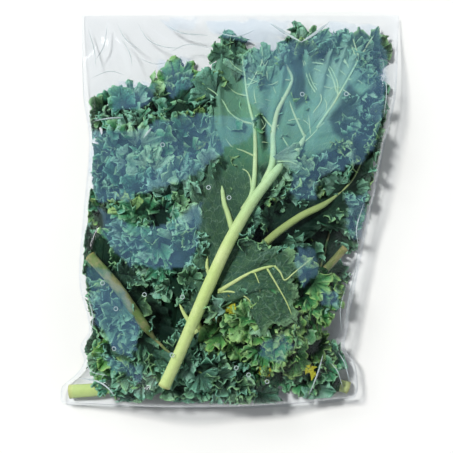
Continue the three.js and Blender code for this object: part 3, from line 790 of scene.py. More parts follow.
def film_wrinkles(x, y):
    """How far the film's swells and creases stand out from it."""
    lift = 0.5 * ripple(x / 120, y / 120, 11) + 0.10 * ripple(x / 34, y / 34, 12)
    for line, height, width in CREASES:
        lift = lift + height * np.exp(-(line_distance(x, y, line) / width) ** CREASE_FLANK)
    draw = np.random.default_rng(5)
    for _ in range(SMALL_CREASES):
        cx, cy = draw.uniform(-150, 160), draw.uniform(-185, 190)
        turn = draw.uniform(0, math.pi)
        length = draw.uniform(8, 42)
        dx, dy = math.cos(turn) * length / 2, math.sin(turn) * length / 2
        distance, t = segment_distance(x, y, (cx - dx, cy - dy), (cx + dx, cy + dy))
        height = draw.uniform(0.15, 0.7) * (1 if draw.random() < 0.7 else -1)
        flank = np.exp(-(distance / draw.uniform(0.9, 2.4)) ** CREASE_FLANK)
        lift = lift + height * flank * np.sin(math.pi * clamp(t, 0.02, 0.98))
    return lift


def fine_across(count):
    """Shares across the bag, closer together at its sides."""
    t = np.linspace(0, 1, count)
    return 0.5 * (t + 0.5 * (1 - np.cos(math.pi * t)))


FINE_ACROSS = fine_across(158)
FINE_STATIONS = np.concatenate([[0, 1.2, 2.5, 3.5, 5, 7], np.linspace(9, BAG_LENGTH, 178)])
# How far from the bag's sides and seal the film begins to move freely.
FREE_FROM_SIDE = 14
FREE_FROM_SEAL = (4, 22)
bag_x, bag_y, bag_top, bag_low = bag_grid(FINE_ACROSS, FINE_STATIONS)
bag_straight = unbowed(bag_x, bag_y)
from_left = bag_x - through(LEFT_SIDE, bag_straight)
from_right = through(RIGHT_SIDE, bag_straight) - bag_x
from_side = np.minimum(from_left, from_right)
free = step_between(*FREE_FROM_SEAL, FINE_STATIONS)[:, None]
free = step_between(0, FREE_FROM_SIDE, from_side) * free

# The film is drawn tight over the peaks of the pile: it rests on the stalks and presses the blades.
PRESSED = 2.5
CLEAR_OF_STALK = 1.2
CLEAR_OF_LEAF = 1.6
LEAST_HEIGHT = 6.0
HELD_SIDE, HELD_SEAL, HELD_MOUTH = 15, 16, 1  # how wide a strip is held along each
TIGHT_ROUNDS = 1400
SOFT_ROUNDS = 12
SOFTENING = 0.9


def heights_on(*names):
    """Heights of these solids under the film, and 0 beside them."""
    tree = Solid(*names).tree
    found = np.zeros(bag_x.shape)
    for i in np.ndindex(bag_x.shape):
        spot, _ = drop(tree, bag_x[i], bag_y[i])
        if spot is not None:
            found[i] = spot.z
    return found


def to_neighbours(z):
    """How far each point's height is from the mean of the four round it."""
    ring = np.pad(z, 1, mode="edge")
    return 0.25 * (ring[:-2, 1:-1] + ring[2:, 1:-1] + ring[1:-1, :-2] + ring[1:-1, 2:]) - z


blade_top = heights_on(*[n for n in nodes if n.endswith("_blade") and n != "front_blade"]) - PRESSED
front_top = heights_on("front_blade") + CLEAR_OF_LEAF
stalk_top = heights_on(*[n for n in nodes if n.endswith("_stalk")]) + CLEAR_OF_STALK
rest_on = np.max([blade_top, front_top, stalk_top, np.full(bag_x.shape, LEAST_HEIGHT)], axis=0)
held_end = (FINE_STATIONS < HELD_SEAL) | (FINE_STATIONS > BAG_LENGTH - HELD_MOUTH)
held = (from_side < HELD_SIDE) | held_end[:, None]
# The skin shrinks until each part of it is straight or rests on something, and is then softened.
tight = bag_top
for _ in range(TIGHT_ROUNDS):
    tight = np.where(held, bag_top, np.maximum(rest_on, tight + to_neighbours(tight)))
for _ in range(SOFT_ROUNDS):
    tight = tight + SOFTENING * to_neighbours(tight)
bag_top = mix(bag_top, tight, free) + film_wrinkles(bag_x, bag_y) * free


def film_field(heights):
    """The film's heights over the plan, read from its uneven grid."""
    x, y = Field.PLACES
    y = unbowed(x, y)
    station = clamp(y - SEAL_END, 0, BAG_LENGTH)
    west, east = through(LEFT_SIDE, y), through(RIGHT_SIDE, y)
    share = clamp((x - west) / (east - west), 0, 1)
    i, down = step_of(FINE_STATIONS, station)
    j, right = step_of(FINE_ACROSS, share)
    return between(heights, i, j, clamp(down, 0, 1), clamp(right, 0, 1))


# The pile's room: under the upper film and what has been made so far, and over the lower film.
UNDER_UPPER_FILM = 1.1
OVER_LOWER_FILM = 1.2
ceiling = Field(film_field(bag_top) - UNDER_UPPER_FILM)
floor_film = Field(film_field(bag_low) + OVER_LOWER_FILM)


# ---------- Blades ----------
# Of each leaf: columns to a ray and rows of its sheet, spacing and radius of its curls, how light
# and how yellow they are, and its stalk's width and how olive it is.
Look = namedtuple("Look", "per_ray rows spacing radius light yellow width olive")
LOOKS = {
    "front": Look(6, 36, 16.5, 15.0, 0.62, 0.25, 0.88, 0.0),
    "right_curls": Look(3, 12, 17.5, 19.0, 0.55, 0.95, 0.7, 1.2),
    "left_curls": Look(3, 12, 18.5, 19.5, 0.62, 0.12, 0.8, 0.6),
    "left_slant": Look(3, 14, 18.0, 18.5, 0.45, 0.2, 0.9, 1.05),
    "right_arch": Look(3, 14, 17.5, 18.0, 0.6, 0.25, 0.8, 0.62),
    "corner_left": Look(3, 12, 15.0, 15.0, 0.5, 0.3, 0.8, 0.6),
    "corner_right": Look(3, 12, 15.0, 16.0, 0.5, 0.5, 0.8, 0.6),
    "back_right": Look(3, 12, 19.0, 18.0, 0.35, 0.35, 0.6, 1.5),
    "back_left": Look(3, 12, 19.0, 19.0, 0.4, 0.4, 0.8, 0.6),
    "back_middle": Look(3, 12, 20.0, 20.0, 0.35, 0.6, 0.8, 0.6),
    "low_left": Look(2, 10, 22.0, 20.0, 0.3, 0.5, 0.95, 0.1),
    "low_right": Look(2, 10, 22.0, 20.0, 0.3, 0.5, 0.95, 0.15),
}
BLADE = 0.6
CURL_BLADE = 0.5
# Largest radius, columns and rows of small, middling and large curls.
CURL_CLASSES = [(15.5, 44, 6), (22.0, 58, 7), (99.0, 80, 7)]
SMOOTH_LOBE = 29.0  # a lobe this long carries veins


def coarse_blade(leaf):
    """The CAD blade's middle surface at its rays and rows."""
    solid = Solid(leaf.name + "_blade")
    grid = np.zeros((2 * leaf.rays + 1, len(ROWS), 3))
    for j in range(2 * leaf.rays + 1):
        side = 1 if j < leaf.rays else -1
        k = abs(leaf.rays - j)
        for row, v in enumerate(ROWS):
            x, y, low, high = solid.corner(*leaf.on_ray(side, k, v))
            grid[j, row] = (x, y, (low + high) / 2)
    return grid


def across_and_along(p):
    """The steps from point to point along a sheet's columns and rows."""
    return np.gradient(p, axis=-3), np.gradient(p, axis=-2)


def normals(p):
    return unit(np.cross(*across_and_along(p)))


def evened(n):
    """The spine's points are shared by both halves of a blade, so their normals are evened out."""
    n[:, 0] = unit(n[:, 0] + n[::-1, 0])
    return n


def frame_of(p):
    """Unit directions along a sheet's columns and rows, and its upward normal."""
    du, dv = (unit(step) for step in across_and_along(p))
    n = unit(np.cross(du, dv))
    return du, dv, n * np.sign(n[..., 2].mean())


def under_roof(grid, soft=0.8):
    """Presses points down under what lies above them, and keeps them over the film below."""
    top = ceiling.at(*plan_of(grid))
    low = floor_film.at(*plan_of(grid))
    room = soft * np.logaddexp(0, (top - grid[..., 2]) / soft)
    grid[..., 2] = np.maximum(top - room, np.minimum(low, top))
    return grid


# Ruffles along a blade's margin, a long wave and a short one on its crests: wavelength, how far in
# they reach and how sharply they end there, how far they go up, sideways and inwards, and whether
# they go sideways evenly. A wave wanders and varies in size, each by so much over such a length.
Ruffle = namedtuple(
    "Ruffle", "wave reach end up aside inward even wander wander_wave size vary vary_wave")
LONG = Ruffle(17.0, 13.0, 1.6, 3.6, 1.7, 1.8, False, 1.9, 70, 0.75, 0.45, 55)
SHORT = Ruffle(7.2, 6.5, 1.5, 1.8, 0.9, 0.0, True, 2.4, 26, 0.7, 0.5, 31)
RUFFLED = (0.05, 0.5)  # shares of the way out where ruffles begin and are full
BASE_PACE, BASE_START = 0.8, 2.0  # how fast and from where on ruffles grow at a blade's two ends
TURNING_RAYS = 2.0  # rays at each end where the margin runs out from the rib
DROOP, DROOP_REACH = 3.2, 30.0
TOOTH, TOOTH_REACH, TOOTH_WAVE = 0.9, 5.5, 4.1
RAGGED, RAGGED_WAVE = 1.5, 11
PUCKER, FRONT_PUCKER, PUCKER_SIZE, PUCKER_FADE = 0.8, 1.5, 17, 40
EDGE_CROWDING = 1.25  # rows stand closer together towards the edge
HOLLOW_EDGE = 3.0


def ruffled(grid, ways, ruffle, place, from_margin, span, seed):
    """A sheet with ruffles along its margin."""
    du, dv, n = ways
    wander = ruffle.wander * waves(place / ruffle.wander_wave, seed)
    wave = 2 * math.pi * place / ruffle.wave + wander
    size = ruffle.size + ruffle.vary * waves(place / ruffle.vary_wave, seed + 20)
    grow = np.exp(-((from_margin / ruffle.reach) ** ruffle.end)) * span
    aside = ruffle.aside * (1.0 if ruffle.even else size)
    grid = grid + n * (ruffle.up * size * grow * np.sin(wave))[..., None]
    grid = grid + du * (aside * grow * np.sin(2 * wave))[..., None]
    return grid - dv * (ruffle.inward * grow * (1 - np.cos(2 * wave)) / 2)[..., None]


class Sheet:
    """The fine middle surface of a blade."""

    def __init__(self, leaf):
        look = LOOKS[leaf.name]
        front = leaf.name == "front"
        rays = 2 * leaf.rays
        u = np.linspace(0, rays, rays * look.per_ray + 1)
        self.v = v = 1 - (1 - np.linspace(0, 1, look.rows)) ** EDGE_CROWDING
        grid = smooth_grid(coarse_blade(leaf), np.arange(rays + 1), ROWS, u, v)
        reach = np.linalg.norm(grid[:, -1] - grid[:, 0], axis=1)
        self.from_edge = from_edge = (1 - v)[None, :] * reach[:, None]
        self.from_rib = v[None, :] * reach[:, None]
        arc = run_along(grid[:, -1])
        step = arc[-1] / rays
        from_base = np.minimum(u, rays - u)[:, None] * step * BASE_PACE
        self.from_margin = from_margin = np.minimum(from_edge, from_base + BASE_START)
        seed = 100 + leaf.number
        turning = clamp(1 - np.minimum(u, rays - u) / TURNING_RAYS, 0, 1)[:, None]
        sign = np.where(u < rays / 2, -1.0, 1.0)[:, None]
        self.place = place = arc[:, None] + sign * turning * from_edge
        span = step_between(*RUFFLED, v)[None, :]

        ways = frame_of(grid)
        if not front:
            grid[..., 2] -= DROOP * np.exp(-((from_margin / DROOP_REACH) ** 2)) * span
        grid = ruffled(grid, ways, LONG, place, from_margin, span, seed)
        ways = frame_of(grid)
        _, dv, n = ways
        grid = ruffled(grid, ways, SHORT, place, from_margin, span, seed + 40)
        tooth = TOOTH * np.abs(np.sin(math.pi * place / TOOTH_WAVE))
        tooth = RAGGED * waves(place / RAGGED_WAVE, seed + 80, 5) + tooth
        at_edge = clamp(1 - from_edge / TOOTH_REACH, 0, 1) ** 1.2
        grid = grid + dv * (tooth * at_edge * span)[..., None]
        self.hollow = np.zeros(grid.shape[:2])
        for outline, deep in FRONT_HOLLOWS if front else ():
            share = covered_by(*plan_of(grid), outline, HOLLOW_EDGE)
            self.hollow = np.maximum(self.hollow, share)
            grid[..., 2] -= deep * share
        inner = span * (0.35 + 0.65 * np.exp(-from_margin / PUCKER_FADE))
        pucker = ripple(grid[..., 0] / PUCKER_SIZE, grid[..., 1] / PUCKER_SIZE, seed + 90, 4)
        pucker_height = FRONT_PUCKER if front else PUCKER
        self.grid = under_roof(grid + n * (pucker_height * inner * pucker)[..., None])


Seat = namedtuple("Seat", "origin outward aside up size spread")
CURL_SIZES = [0.7, 0.95, 1.2, 1.5]
CURL_SIZE_ODDS = [0.2, 0.35, 0.3, 0.15]
LARGEST_FRONT_CURL = 15.0
FIRST_CURL = 15.0  # how far from the rib the first curl stands
FRONT_FRINGE = 12.0  # how far in from its edge the front leaf has curls
# Ranges of random draws, as shares of the curls' spacing: steps from column to column, the first
# curl of a column, and steps up a column.
COLUMN_STEP, COLUMN_START, CURL_STEP = (0.8, 1.2), (0, 0.3), (0.75, 1.1)
SIZE_RANGE, TURN_RANGE = (0.9, 1.1), (-0.7, 0.7)
ROOT_BACK, ROOT_DEPTH = 0.35, 0.6  # how far a curl's root is behind its place and in the sheet


def curl_seats(leaf, sheet, uncovered):
    """Where curls stand on a sheet."""
    look = LOOKS[leaf.name]
    front = leaf.name == "front"
    draw = np.random.default_rng(900 + leaf.number)
    du, dv, n = frame_of(sheet.grid)
    n = evened(n)
    seats = []
    arc = run_along(sheet.grid[:, int(len(sheet.v) * 0.6)])
    target = 0.4 * look.spacing
    while target < arc[-1]:
        c = min(int(np.searchsorted(arc, target)), len(arc) - 1)
        target += look.spacing * draw.uniform(*COLUMN_STEP)
        reach = sheet.from_rib[c, -1]
        d = max(reach - FRONT_FRINGE, FRONT_FRINGE) if front else FIRST_CURL
        d += draw.uniform(*COLUMN_START) * look.spacing
        while d < reach + 1.0:
            near = int(clamp(c + draw.integers(-1, 2), 0, len(arc) - 1))
            row = int(np.argmin(np.abs(sheet.from_rib[near] - d)))
            d += look.spacing * draw.uniform(*CURL_STEP)
            size = look.radius * draw.choice(CURL_SIZES, p=CURL_SIZE_ODDS)
            size *= draw.uniform(*SIZE_RANGE)
            if front:
                size = min(size, LARGEST_FRONT_CURL)
            turn = draw.uniform(*TURN_RANGE)
            p, m = sheet.grid[near, row], n[near, row]
            if not seen_near(uncovered, p):
                continue
            o = unit(dv[near, row] * math.cos(turn) + du[near, row] * math.sin(turn))
            spots = p + np.array([0, 0.5, 0.9])[:, None] * (o * size)
            if not front and in_gap(*plan_of(spots), 1.0).max() > 0.5:
                continue
            back = ROOT_BACK * size * (1 if row == len(sheet.v) - 1 else 0.5)
            root = p - back * o - ROOT_DEPTH * m
            seats.append(Seat(root, o, unit(np.cross(m, o)), m, size, 1.0))
    return seats


def seen_near(uncovered, p):
    """Whether a place in plan, or one near it, has nothing above it."""
    x = p[0] + np.array([0, 8, -8, 0, 0.0])
    y = p[1] + np.array([0, 0, 0, 8, -8.0])
    return bool((uncovered.at(x, y) > 0.4).any())


def lobe_seats(leaf, sheet):
    """Seats of a leaf's extra lobes, at the height of the nearest place on its sheet."""
    seats = []
    up = np.array([0.0, 0.0, 1.0])
    flat = sheet.grid.reshape(-1, 3)
    for (x, y), heading, length, spread, lift in EXTRA_LOBES.get(leaf.name, ()):
        z = flat[np.argmin(np.hypot(flat[:, 0] - x, flat[:, 1] - y)), 2] + lift
        turn = math.radians(heading)
        o = np.array([math.cos(turn), math.sin(turn), 0.0])
        seats.append(Seat(np.array([x, y, z]), o, np.cross(up, o), up, length, spread))
    return seats


# Of a curl: the usual spacing of its sub-lobes, ruffles, small ruffles and teeth, how high the two
# kinds of ruffle stand, and how far in its deepest sinuses reach.
SUB_LOBE, RUFFLE, SMALL_RUFFLE, CURL_TOOTH = 23.0, 13.0, 6.3, 5.0
RUFFLE_HEIGHT, SMALL_RUFFLE_HEIGHT = 3.6, 2.1
SINUS = 9.0
FAN_RANGE = (1.7, 2.2)  # half the angle over which a curl fans out
CUP_RANGE, LOBE_RISE = (1.0, 7.0), 3.0  # how far its rim rises, and its sub-lobes more
RIM_START, RIM_WIDTH = 0.72, 0.28  # shares of its size
ROLL, TOOTH_DEPTH = 2.6, 2.5
TURN, HALF_TURN = 6.3, 3.1  # ends of the ranges that phases are drawn from
NEAR_SIDE = 4.5  # curls are drawn in where they come closer than this to the bag's side
PULLS, PULL = 8, 0.86  # in this many steps, each to this share
TONE_SPREAD, WARM_SPREAD = 0.36, 0.35


def curls_from(leaf, seats, columns, rows, draw):
    """Curled fan-shaped lobes: points of fans x columns x rows, and values for their material."""
    count = len(seats)
    stacked = [np.array(values) for values in zip(*seats)]
    origin, o, s, m = (values[:, None, None, :] for values in stacked[:4])
    size, spread = (values.reshape(count, 1, 1) for values in stacked[4:])

    def rand(low, high):
        return draw.uniform(low, high, (count, 1, 1))

    rho = (np.linspace(0, 1, rows) ** 0.8)[None, None, :]
    theta = np.linspace(-1, 1, columns)[None, :, None] * rand(*FAN_RANGE) * spread
    bent = theta + 0.22 * np.sin(2.3 * theta + rand(0, TURN))
    # Waves along the rim: sub-lobes with sinuses between them, ruffles, and small ruffles.
    lobe_turn = math.pi * size / np.maximum(SUB_LOBE, 0.6 * size) * bent
    lobe = np.abs(np.cos(lobe_turn * rand(0.85, 1.2) + rand(0, HALF_TURN))) ** 0.7
    first = (0.4 * size + 9.0) / RUFFLE * 2 * math.pi * bent * rand(0.75, 1.05) + rand(0, TURN)
    second = size / SMALL_RUFFLE * 2 * math.pi * bent * rand(0.9, 1.1) + rand(0, TURN)
    high = rand(*CUP_RANGE) * rho ** 1.6 + LOBE_RISE * (lobe - 0.5) * rho ** 1.5
    high = high + RUFFLE_HEIGHT * rand(0.6, 1.25) * rho ** 2.2 * np.sin(first)
    high = high + SMALL_RUFFLE_HEIGHT * rho ** 3.5 * np.sin(second)
    sinus = np.minimum(0.36, SINUS / size)
    outline = (1 - sinus * (1 - lobe)) * (0.85 + 0.15 * np.cos(0.8 * theta))
    outline = 1 + (outline - 1) * rho
    outline = outline + 0.06 * np.sin(7.3 * theta + rand(0, TURN)) * rho
    rim = clamp((rho - RIM_START) / RIM_WIDTH, 0, 1)
    teeth = np.abs(np.sin(size / CURL_TOOTH * math.pi * bent + rand(0, HALF_TURN))) ** 0.8
    roll = ROLL * rho ** 3 * (1 + np.sin(first)) / 2
    away = size * outline * rho + TOOTH_DEPTH * (teeth - 0.5) * rim - roll
    aside = 1.7 * rho ** 2.2 * np.sin(2 * first) + 0.7 * rho ** 4 * np.sin(2 * second)
    cos, sin = np.cos(theta), np.sin(theta)
    offset = o * (away * cos - aside * sin)[..., None] + s * (away * sin + aside * cos)[..., None]
    offset = offset + m * high[..., None]
    for _ in range(PULLS):
        out = depth_in_bag(*plan_of(origin + offset)) < NEAR_SIDE
        offset[..., :2] *= np.where(out, PULL, 1.0)[..., None]
    points = under_roof(origin + offset, 0.6)

    look = LOOKS[leaf.name]
    small = step_between(40, 26, size)
    none = np.zeros((count, columns, rows))
    number = 100.0 * np.arange(count).reshape(count, 1, 1)
    # Ruffle crests are painted lighter as a highlight, and their troughs feed the painted shade.
    crest = rho ** 1.5 * (0.7 * np.sin(first) + 0.3 * np.sin(second)) * small
    tone = clamp(look.light + draw.normal(0, TONE_SPREAD, (count, 1, 1)), 0, 1)
    warm = clamp(look.yellow + draw.normal(0, WARM_SPREAD, (count, 1, 1)), 0, 1)
    # Painted shade: darkest at the lobe's middle, in the sinuses between its sub-lobes and in the
    # troughs of its ruffles.
    painted_shade = (clamp(1 - rho / 0.85, 0, 1) + 0.45 * (1 - lobe) * (1 - rho)) * small
    return points, {
        "edge": np.exp(-((1 - rho) * size + none) / 2.0),
        "frill": 1 + none,
        "leaf": np.stack([theta * size * 0.8 + none, rho * size * 0.6 + none, number + none], -1),
        "tone": tone + none + 0.42 * crest - 0.25 * step_between(30, 50, size),
        "warm": warm + 2.0 * (spread == YELLOWED) + none,
        "painted_shade": clamp(painted_shade + none + 0.75 * clamp(-crest, 0, 1), 0, 1),
    }


def blade_object(leaf, sheet, uncovered):
    """A leaf's curled blade, its large lobes, and the points that cover what lies under it."""
    look = LOOKS[leaf.name]
    grid = sheet.grid
    columns, rows = grid.shape[:2]
    count = columns * rows
    n = evened(normals(grid))
    turned = n[..., 2].mean() < 0
    n = -n if turned else n
    half_wall = n * (BLADE * (0.55 + 0.45 * clamp(sheet.from_edge / 12, 0, 1)) / 2)[..., None]
    points = [(grid + half_wall).reshape(-1, 3), (grid - half_wall).reshape(-1, 3)]
    faces = [shell_faces(columns, rows, count, turned)]
    frill = np.exp(-sheet.from_margin / 16)
    if leaf.name == "front":
        tone = 0.08 + 0.48 * step_between(20, 100, grid[..., 1])
        tone = tone + 0.32 * covered_by(*plan_of(grid), FLAP, 6.0)
        # The front leaf's hollows are painted with shade as well as sunk.
        painted_shade = sheet.hollow
    else:
        # The sheets under the curls are painted dark as shade: a low tone, and painted shade that
        # lessens only near their margins and is deepest in the gaps.
        tone = np.full((columns, rows), 0.12)
        painted_shade = np.maximum(1 - frill * 0.4, 1.05 * in_gap(*plan_of(grid), 2.0))
    place = [sheet.place * 0.6, sheet.from_rib, np.full((columns, rows), 100.0 * leaf.number)]
    values = {
        "edge": np.exp(-sheet.from_edge / 3.0), "frill": frill, "leaf": np.stack(place, -1),
        "tone": tone, "warm": np.full((columns, rows), look.yellow), "painted_shade": painted_shade,
    }
    data = {key: [two_sides(value[None])] for key, value in values.items()}
    data["back"] = [which_side(np.ones(1), leaf.back_up, count)]
    seats = lobe_seats(leaf, sheet) + curl_seats(leaf, sheet, uncovered)
    lobes, covers = [], [grid.reshape(-1, 3)]
    start, smallest = 2 * count, 0.0
    draw = np.random.default_rng(1900 + leaf.number)
    for largest, across, deep in CURL_CLASSES:
        chosen = [seat for seat in seats if smallest <= seat.size < largest]
        smallest = largest
        if not chosen:
            continue
        curls, values = curls_from(leaf, chosen, across, deep, draw)
        covers.append(curls.reshape(-1, 3))
        lobes += [fan for fan, seat in zip(curls, chosen) if seat.size >= SMOOTH_LOBE]
        n = normals(curls)
        fans, size = len(chosen), across * deep
        sides = [curls + n * CURL_BLADE / 2, curls - n * CURL_BLADE / 2]
        points.append(np.stack([side.reshape(fans, size, 3) for side in sides], 1).reshape(-1, 3))
        firsts = start + 2 * size * np.arange(fans)[:, None, None]
        faces.append((shell_faces(across, deep, size)[None] + firsts).reshape(-1, 4))
        start += 2 * size * fans
        for key, value in values.items():
            data[key].append(two_sides(value))
        up_first = (n[..., 2].reshape(fans, size).mean(1) > 0).astype(float)
        data["back"].append(which_side(up_first, leaf.back_up, size))
    made = mesh_object(leaf.name + "_leaf", np.concatenate(points), np.concatenate(faces))
    for key, values in data.items():
        give(made, key, np.concatenate(values))
    return made, lobes, np.concatenate(covers)


def two_sides(values):
    """Values of sheets' points, for one side and then the other of each sheet."""
    sheets, columns, rows = values.shape[:3]
    flat = values.reshape((sheets, 1, columns * rows) + values.shape[3:])
    return np.repeat(flat, 2, axis=1).reshape((-1,) + values.shape[3:])


def which_side(up_first, back_up, count):
    """1 on the back and 0 on the upper side of sheets, whose first sides face up or don't."""
    first_is_back = up_first if back_up else 1 - up_first
    return np.repeat(np.stack([first_is_back, 1 - first_is_back], 1).ravel(), count)


# ---------- Stalks ----------
IN_BLADE = 0.95  # how much of a rib's radius lies below its leaf's surface
CUT_TONE = 0.55


def stalk_line(leaf, steps):
    """Shares of a leaf's rib, its line and its radii, as high as the CAD rib and the pile allow."""
    solid = Solid(leaf.name + "_stalk")
    shares = np.linspace(0, RIB_END, steps)
    plan = np.array([leaf.spine.at(s) for s in shares])
    radii = np.array([leaf.radius_at(s) for s in shares])
    known = [(s, solid.top(x, y)) for s, (x, y) in zip(shares, plan)]
    known = [(s, z) for s, z in known if z is not None]
    z = averaged(np.interp(shares, *zip(*known)) - IN_BLADE * radii, 9)
    roof = ceiling.at(plan[:, 0], plan[:, 1]) - IN_BLADE * radii
    z = np.minimum(z, averaged(np.minimum(z, roof), 9))
    return shares, np.column_stack([plan, z]), radii * LOOKS[leaf.name].width


VEIN_SIDES = 8
VEIN_STEP = 2.2


def vein(skin, stalk, plan, start_radius, end_radius):
    """A vein that lies on a sheet, half sunk in it, with closed ends."""
    steps = max(8, int(run_along(plan)[-1] / VEIN_STEP))
    line = smooth_line(plan, steps)
    spots = [drop(skin, x, y)[0] for x, y in line]
    # Where there is no sheet under it, a vein keeps the height of the stalk beside it.
    apart = line[:, None, :] - stalk[None, :, :2]
    beside = np.argmin(np.hypot(*plan_of(apart)), axis=1)
    height = [stalk[i, 2] if spot is None else spot.z for i, spot in zip(beside, spots)]
    height = averaged(np.array(height), 7)
    thin = mix(start_radius, end_radius, np.linspace(0, 1, steps) ** 0.7)
    thin = thin * np.minimum(1, 0.25 + (steps - 1 - np.arange(steps)) / 3)
    roof = ceiling.at(line[:, 0], line[:, 1]) + 0.7 - 0.8 * thin
    height = np.minimum(height + 0.4 * thin, roof)
    return tube(np.column_stack([line, height]), thin, VEIN_SIDES, 0.85)


def stalk_object(leaf, sheet, lobes):
    """A leaf's rib, with the front leaf's veins, and the rib's middle line and radii."""
    front = leaf.name == "front"
    sides, steps = (22, 120) if front else (14, 70)
    shares, line, radii = stalk_line(leaf, steps)
    if front:
        kept = (shares > STALK_START) & (shares < STALK_END)
        shares, line = shares[kept], line[kept]
        radii = np.interp(shares, STALK_SHARES, STALK_RADII)
        radii = radii * np.sqrt(clamp((STALK_END - shares) / 0.012, 0.15, 1))
    if leaf.name in SUNK_FROM:
        first = SUNK_FROM[leaf.name]
        sunk = step_between(first, first + SINKING, shares)
        radii = radii * mix(1.0, SUNK_WIDTH, sunk)
        line[:, 2] = np.maximum(line[:, 2] - SUNK_DEPTH * sunk, LEAST_SUNK_HEIGHT)
    swell = 1 + 0.08 * np.exp(-(shares - shares[0]) / 0.012)
    tubes = [tube(line, radii * swell, sides, 0.94, 0.022, leaf.number)]
    # The cut end is brown at its middle and paler at its rim.
    cut = np.zeros(len(tubes[0][0]))
    cut[-2] = 1
    cut[:sides] = CUT_TONE
    if leaf.name == "right_curls":
        worn = np.repeat(0.3 * step_between(0.2, 0.05, shares), sides)
        cut[:-2] = np.maximum(cut[:-2], worn)
    if front:
        parts = [sheet.grid] + lobes
        firsts = np.cumsum([0] + [part.size // 3 for part in parts[:-1]])
        skin = surface_tree(
            np.concatenate([part.reshape(-1, 3) for part in parts]),
            np.concatenate([sheet_faces(*part.shape[:2]) + i for part, i in zip(parts, firsts)]),
        )
        tubes += [vein(skin, line, *drawn) for drawn in FRONT_VEINS]
    made = tubes_object(leaf.name + "_ribs", tubes)
    points = np.concatenate([tube_points for tube_points, _ in tubes])
    give(made, "cut", np.concatenate([cut, np.zeros(len(points) - len(cut))]))
    give(made, "run", np.linalg.norm(points[:, :2] - line[0, :2], axis=1))
    give(made, "olive", np.full(len(points), LOOKS[leaf.name].olive))
    return made, line, radii


# ---------- Materials ----------
def colour(hex_code):
    def linear(c):
        c /= 255
        return c / 12.92 if c <= 0.04045 else ((c + 0.055) / 1.055) ** 2.4

    return tuple(linear(int(hex_code[i:i + 2], 16)) for i in (0, 2, 4)) + (1.0,)


class Graph:
    """A node tree, and short ways to add nodes to it. A colour may be given as its hex code."""

    def __init__(self, tree):
        self.tree = tree

    def put(self, socket, value):
        if isinstance(value, bpy.types.NodeSocket):
            self.tree.links.new(value, socket)
        else:
            socket.default_value = colour(value) if isinstance(value, str) else value

    def node(self, kind, **sockets):
        made = self.tree.nodes.new("ShaderNode" + kind)
        for key, value in sockets.items():
            self.put(made.inputs[key.replace("_", " ")], value)
        return made

    def place(self):
        return self.node("TexCoord").outputs["Object"]

    def attribute(self, name, output="Fac"):
        made = self.node("Attribute")
        made.attribute_name = name
        return made.outputs[output]

    def maths(self, operation, *values):
        made = self.node("Math")
        made.operation = operation
        for socket, value in zip(made.inputs, values):
            self.put(socket, value)
        return made.outputs[0]

    def ramp(self, value, low, high):
        made = self.node("MapRange", Value=value, From_Min=low, From_Max=high)
        made.interpolation_type = "SMOOTHSTEP"
        return made.outputs["Result"]

    def blend(self, share, a, b):
        made = self.node("Mix")
        made.data_type = "RGBA"
        for socket, value in (("Factor", share), ("A", a), ("B", b)):
            self.put(made.inputs[socket], value)
        return made.outputs["Result"]

    def tint(self, tone, share, strength, other):
        """A tone with another laid over it, as strongly as a share of this strength."""
        return self.blend(self.maths("MULTIPLY", share, strength), tone, other)

    def noise(self, vector, scale, detail=3.0, roughness=0.5, output="Fac"):
        made = self.node("TexNoise", Vector=vector, Scale=scale, Detail=detail, Roughness=roughness)
        return made.outputs[output]

    def net(self, vector, scale, width):
        """Lines between cells, 1 on the lines."""
        cells = self.node("TexVoronoi", Vector=vector, Scale=scale)
        cells.feature = "DISTANCE_TO_EDGE"
        return self.maths("SUBTRACT", 1.0, self.ramp(cells.outputs["Distance"], 0.0, width))

    def bump(self, height, distance, strength, **under):
        made = self.node("Bump", Height=height, Distance=distance, Strength=strength, **under)
        return made.outputs["Normal"]

    def mixed(self, share, a, b):
        made = self.node("MixShader")
        for socket, value in zip(made.inputs, (share, a, b)):
            self.put(socket, value)
        return made.outputs[0]


def finish(name, looks):
    """A material from a function that adds its nodes and gives its surface."""
    made = bpy.data.materials.new(name)
    made.use_nodes = True
    made.node_tree.nodes.clear()
    g = Graph(made.node_tree)
    g.node("OutputMaterial", Surface=looks(g))
    return made


